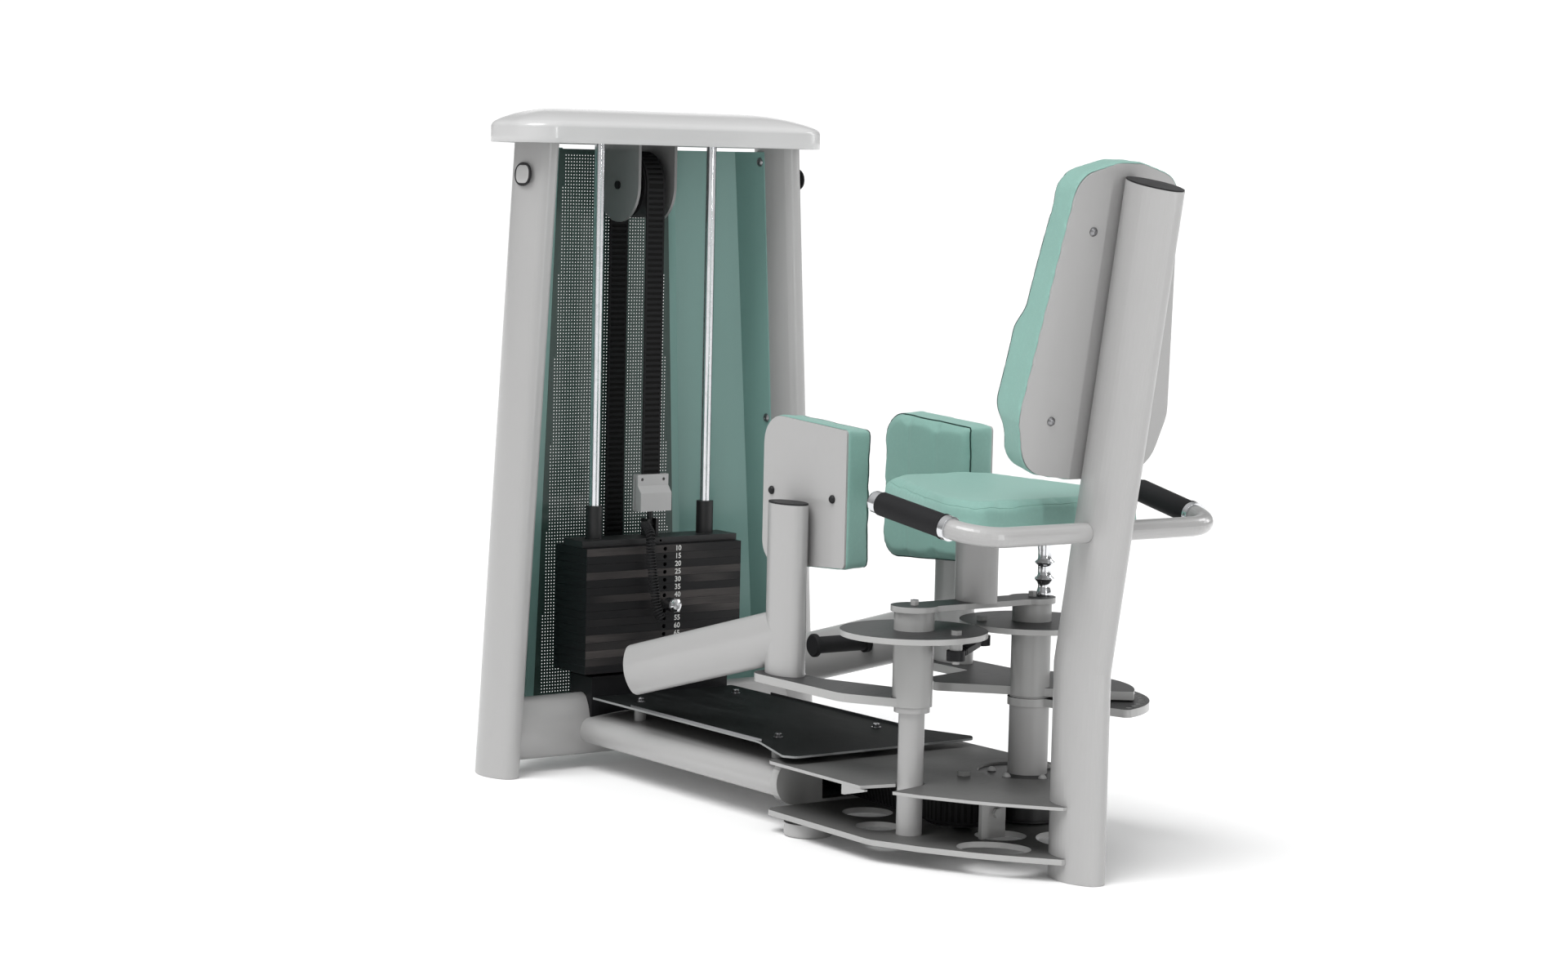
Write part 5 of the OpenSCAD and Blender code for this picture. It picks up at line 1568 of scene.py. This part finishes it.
# the coil's middle line, in millimetres from the stack's middle
LANYARD_KNOTS = (
    (-20, -10, 468), (-30, -38, 466), (-42, -68, 454), (-46, -75, 430),
    (-44, -77, 399), (-38, -79, 350), (-33, -82, 312), (-24, -85, 286),
)


@dataclass
class Lanyard:
    """The coiled cord that keeps the selector pin with the weights."""

    cord_d: float = 3.0
    coil_r: float = 8.2
    pitch: float = 5.4
    per_turn: int = 14
    lead: float = 9.0
    fine: float = 0.5

    def route(self) -> list[Vector]:
        """Draws a smooth line through the knots.

        Returns:
            The line that the coil follows, in millimetres from the post.
        """
        line = [Vector((x, y + STACK_Y, z)) for x, y, z in LANYARD_KNOTS]
        ends = [2 * line[0] - line[1], *line, 2 * line[-1] - line[-2]]
        out: list[Vector] = []
        for a, b, c, d in zip(ends, ends[1:], ends[2:], ends[3:]):
            square, cube = 2 * a - 5 * b + 4 * c - d, 3 * b - a - 3 * c + d
            out += [0.5 * (2 * b + (c - a) * t + square * t * t + cube * t**3) for t in SHARES]
        return [*out, line[-1]]

    def coil(self) -> list[Vector]:
        """Winds the cord round the route.

        Returns:
            The cord's centre line, in metres.
        """
        line = spread(self.route(), self.fine)
        total = running(line)[-1]
        count = int((total - 2 * self.lead) / self.pitch * self.per_turn)
        out: list[Vector] = []
        for k in range(count + 1):
            s = total * k / count
            i = min(len(line) - 2, int(s / self.fine))
            at = line[i].lerp(line[i + 1], min(1.0, s / self.fine - i))
            way = (line[min(len(line) - 1, i + 3)] - line[max(0, i - 3)]).normalized()
            side = way.cross(Vector((1.0, 0.0, 0.0))).normalized()
            a = 2 * math.pi * k / self.per_turn
            reach = self.coil_r * step_between(min(s, total - s), 0.0, self.lead)
            round_it = math.cos(a) * side.cross(way).normalized() + math.sin(a) * side
            out.append(from_post(*(at + reach * round_it)))
        return out

    def build(self) -> None:
        path = self.coil()
        cord = mesh_piece("coiled_lanyard", tube(path, self.cord_d / 2 * MM), FINISH.plastic, 60.0)
        shown(cord, "pin_lanyard")
        length = running(path)[-1]
        LOG.info("coiled_lanyard: %.3f m of cord", length)



# ---- small trim

# radius and height of the pop pin's spindle, from its pin upwards
SPINDLE = (
    (0.01, -9.3), (4, -9.3), (4, 0), (12.8, 0), (13, 1), (13, 8), (12, 11), (10.8, 15), (10.8, 20),
    (13, 25), (16.5, 28.5), (17.3, 30.5), (16.5, 32.5), (13, 35), (11.6, 38), (11.6, 52), (13, 55),
    (16.5, 57.5), (17.3, 59.5), (16.5, 61.5), (13, 64), (12, 67), (12, 80), (13, 84), (13, 93),
    (10, 96), (0.01, 96),
)


@dataclass
class Trim:
    """The foot plate's lips, the blank faces of the badges and the spindle under the seat."""

    lip_x: float = 163.9
    lip_span: Point2 = (683.0, 1116.0)
    lip_foot: float = 142.5
    lip_half: Point2 = (0.9, 2.5)
    lip_edge: float = 0.4
    foot_x: float = 349.7
    lean: float = 3.26
    badge_x: float = 33.2 + 2.9
    badge_half: Point2 = (23.0, 17.0)
    badge_z: float = 1150.0
    spindle_at: Triple = (153.0, 285.0, 436.9)

    def lips(self) -> None:
        """Makes two thin upturned lips along the foot plate's sides."""
        (y0, y1), (x, z), edge = self.lip_span, self.lip_half, self.lip_edge
        y = (y1 - y0) / 2
        around = ((-1, -1), (1, -1), (1, 1), (-1, 1))
        levels = ((edge, -z), (0.0, -z + edge), (0.0, z - edge), (edge, z))
        parts = []
        for side in (-1, 1):
            place = to_frame() @ moved(side * self.lip_x, (y0 + y1) / 2, self.lip_foot + z)
            rings = [
                [place @ Vector((i * (x - cut), k * (y - cut), h)) for i, k in around]
                for cut, h in levels
            ]
            parts.append(skin(rings))
        lips = mesh_piece("tread_lips", joined(parts), FINISH.steel, 30.0)
        shown(lips, "foot_plate", False)

    def badges(self) -> None:
        """Makes the blank oval face on each badge."""
        w, h = self.badge_half
        outline = rounded([(-w, -h, 15), (w, -h, 15), (w, h, 15), (-w, h, 15)], 8.0)
        up = self.badge_z / math.cos(math.radians(self.lean))
        rows = ((0.0, 0.0), (0.0, 0.3), (1.2, 0.7), (9.0, 1.0))
        parts = []
        for s in (-1, 1):
            place = to_frame() @ moved(s * self.foot_x, TOWER_Y, 0) @ turned(y=-s * self.lean)
            place = place @ moved(s * self.badge_x, -14, up)
            shape = skin([
                [
                    place @ Vector((s * rise, y * (1 - cut / w), z * (1 - cut / h)))
                    for y, z in outline
                ]
                for cut, rise in rows
            ])
            parts.append(shape if s > 0 else flipped(shape))
        badges = mesh_piece("badge_faces", joined(parts), FINISH.frame, 50.0)
        shown(badges, "post_trim", False)

    def spindle(self) -> None:
        """Turns the spindle of the pop pin beside the seat column."""
        place = to_frame() @ moved(*self.spindle_at)
        rings = [[place @ Vector((r * c, r * s, z)) for c, s in circle(40)] for r, z in SPINDLE]
        spindle = mesh_piece("turned_spindle", skin(rings), FINISH.chrome, 40.0)
        shown(spindle, "lock_knob")

    def build(self) -> None:
        """Makes every piece of trim."""
        self.lips()
        self.badges()
        self.spindle()


# ---- painted nodes


@dataclass
class MetalWork:
    """Finishes for the rigid nodes that keep their solid shapes, by the finish's name."""

    nodes: Mapping[str, str] = field(default_factory=lambda: {
        "frame": "back_post central_beam tower_cross_beam left_tower_post right_tower_post"
                 " tower_top_beam seat_column seat_board back_board left_pad_post right_pad_post"
                 " left_pad_board right_pad_board pivot_shafts base_feet",
        "handled": "left_handle right_handle",
        "arm": "left_arm right_arm link_plate drive_sector",
        "plate": "lower_base_plate upper_base_plate beam_flange idler_mount",
        "cheek": "pulley_bracket",
        "guard": "left_side_panel right_side_panel",
        "chrome": "guide_rods selector_pin start_pin lock_knob handle_trim",
        "fixings": "frame_fixings",
        "shaft": "drive_shaft",
        "head": "weight_head",
        "enamel": "stack_pedestal pulley_axles link_rod",
        "stack": "resting_weight_plates lifted_weight_plates",
        "tread": "foot_plate",
        "rubber": "handle_grips left_foot_peg right_foot_peg",
        "plastic": "post_trim left_pad_trim right_pad_trim top_pulley foot_pulley idler_pulley",
    })

    def build(self) -> None:
        """Assigns the finishes."""
        for finish, names in self.nodes.items():
            for node in names.split():
                slots = frame["nodes"][node].data.materials
                if not slots:
                    slots.append(None)
                for index in range(len(slots)):
                    slots[index] = getattr(FINISH, finish)
            LOG.info("%s: %s", finish, names)


# ---- studio


@dataclass
class Studio:
    """A pale floor, soft light and the camera."""

    eye: Triple = (-3.61347, -4.79900, 1.17156)
    azimuth: float = -35.7725
    down: float = 5.4953
    roll: float = 1.2625
    lens: float = 76.48
    floor_half: float = 200.0
    room: float = 0.17
    key: float = 2.40
    key_angle: float = 40.0
    key_way: Triple = (0.48, 0.10, -0.87)
    middle: Triple = (0.0, 0.0, 0.6)
    lamps: Sequence[tuple[str, Triple, float, float, float]] = (
        ("rim", (3.4, -0.6, 2.4), 0.9, 2.6, 35), ("strip", (0.1, -4.6, 1.3), 0.06, 3.2, 36),
    )

    def ahead(self) -> Vector:
        """The way the camera looks."""
        a, p = math.radians(self.azimuth), math.radians(self.down)
        return Vector((-math.sin(a) * math.cos(p), math.cos(a) * math.cos(p), -math.sin(p)))

    def camera(self) -> None:
        """Sets the camera."""
        a, r = math.radians(self.azimuth), math.radians(self.roll)
        ahead, right = self.ahead(), Vector((math.cos(a), math.sin(a), 0))
        up = right.cross(ahead)
        across = math.cos(r) * right + math.sin(r) * up
        top = -math.sin(r) * right + math.cos(r) * up
        data = bpy.data.cameras.new("camera")
        data.lens = self.lens
        data.sensor_width = 36
        obj = linked(bpy.data.objects.new("camera", data))
        turn = Matrix((across, top, -ahead)).transposed().to_4x4()
        obj.matrix_world = Matrix.Translation(self.eye) @ turn
        bpy.context.scene.camera = obj

    def sky(self) -> None:
        """Lights the room: white behind the machine, dimmer elsewhere, brighter from above."""
        kit = NodeKit("studio", world=True)
        way = kit.node("TexCoord", output="Generated")
        strength: Any = self.room
        for aim, low, high, gain in (
            (tuple(self.ahead()), 0.90, 0.955, 0.95), ((-0.25, -0.1, 0.963), -0.1, 0.9, 0.45),
        ):
            settings = {"operation": "DOT_PRODUCT"}
            near = kit.node("VectorMath", settings, {0: way, 1: aim}, output="Value")
            strength = kit.span(near, low, high, 0.0, gain) + strength
        bpy.context.scene.world = kit.set(Color=(1.0, 1.0, 1.0), Strength=strength)

    def light(self, name: str, kind: str, power: float, way: Vector, **settings: Any) -> Object:
        """Adds a light.

        Args:
            name: the light's name.
            kind: its type.
            power: its strength.
            way: where it shines.
            settings: its other properties.

        Returns:
            The light.
        """
        data = bpy.data.lights.new(name, kind)
        data.energy = power
        for key, value in settings.items():
            setattr(data, key, value)
        obj = linked(bpy.data.objects.new(name, data))
        obj.rotation_euler = way.to_track_quat("-Z", "Y").to_euler()
        return obj

    def lights(self) -> None:
        """Adds a very soft key from the camera's upper left, and two soft lamps."""
        angle = math.radians(self.key_angle)
        self.light("key", "SUN", self.key, Vector(self.key_way), angle=angle)
        for name, at, wide, high, watts in self.lamps:
            way = Vector(self.middle) - Vector(at)
            lamp = self.light(name, "AREA", watts, way, shape="RECTANGLE", size=wide, size_y=high)
            lamp.location = at

    def floor(self) -> None:
        """Lays the floor."""
        ways = ((-1, -1), (1, -1), (1, 1), (-1, 1))
        corners = [Vector((x * self.floor_half, y * self.floor_half, -0.0005)) for x, y in ways]
        floor = mesh_piece("studio_floor", (corners, [[0, 1, 2, 3]]), FINISH.floor, 35.0)

    def build(self) -> None:
        """Sets up the whole studio."""
        self.camera()
        self.floor()
        self.sky()
        bpy.context.scene.view_settings.view_transform = "Standard"
        self.lights()
        LOG.info("studio: camera, floor and lamps")


# ---- main


def main() -> None:
    """Builds and dresses every piece in order."""
    logging.basicConfig(level=logging.INFO, format="%(name)s %(message)s")
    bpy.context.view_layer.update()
    parts = (
        Studio, Lanyard, MetalWork, Cover, PerforatedSheet, Belting, StackNumbers, Trim, Upholstery
    )
    for part in parts:
        part().build()


if __name__ == "__main__":
    main()
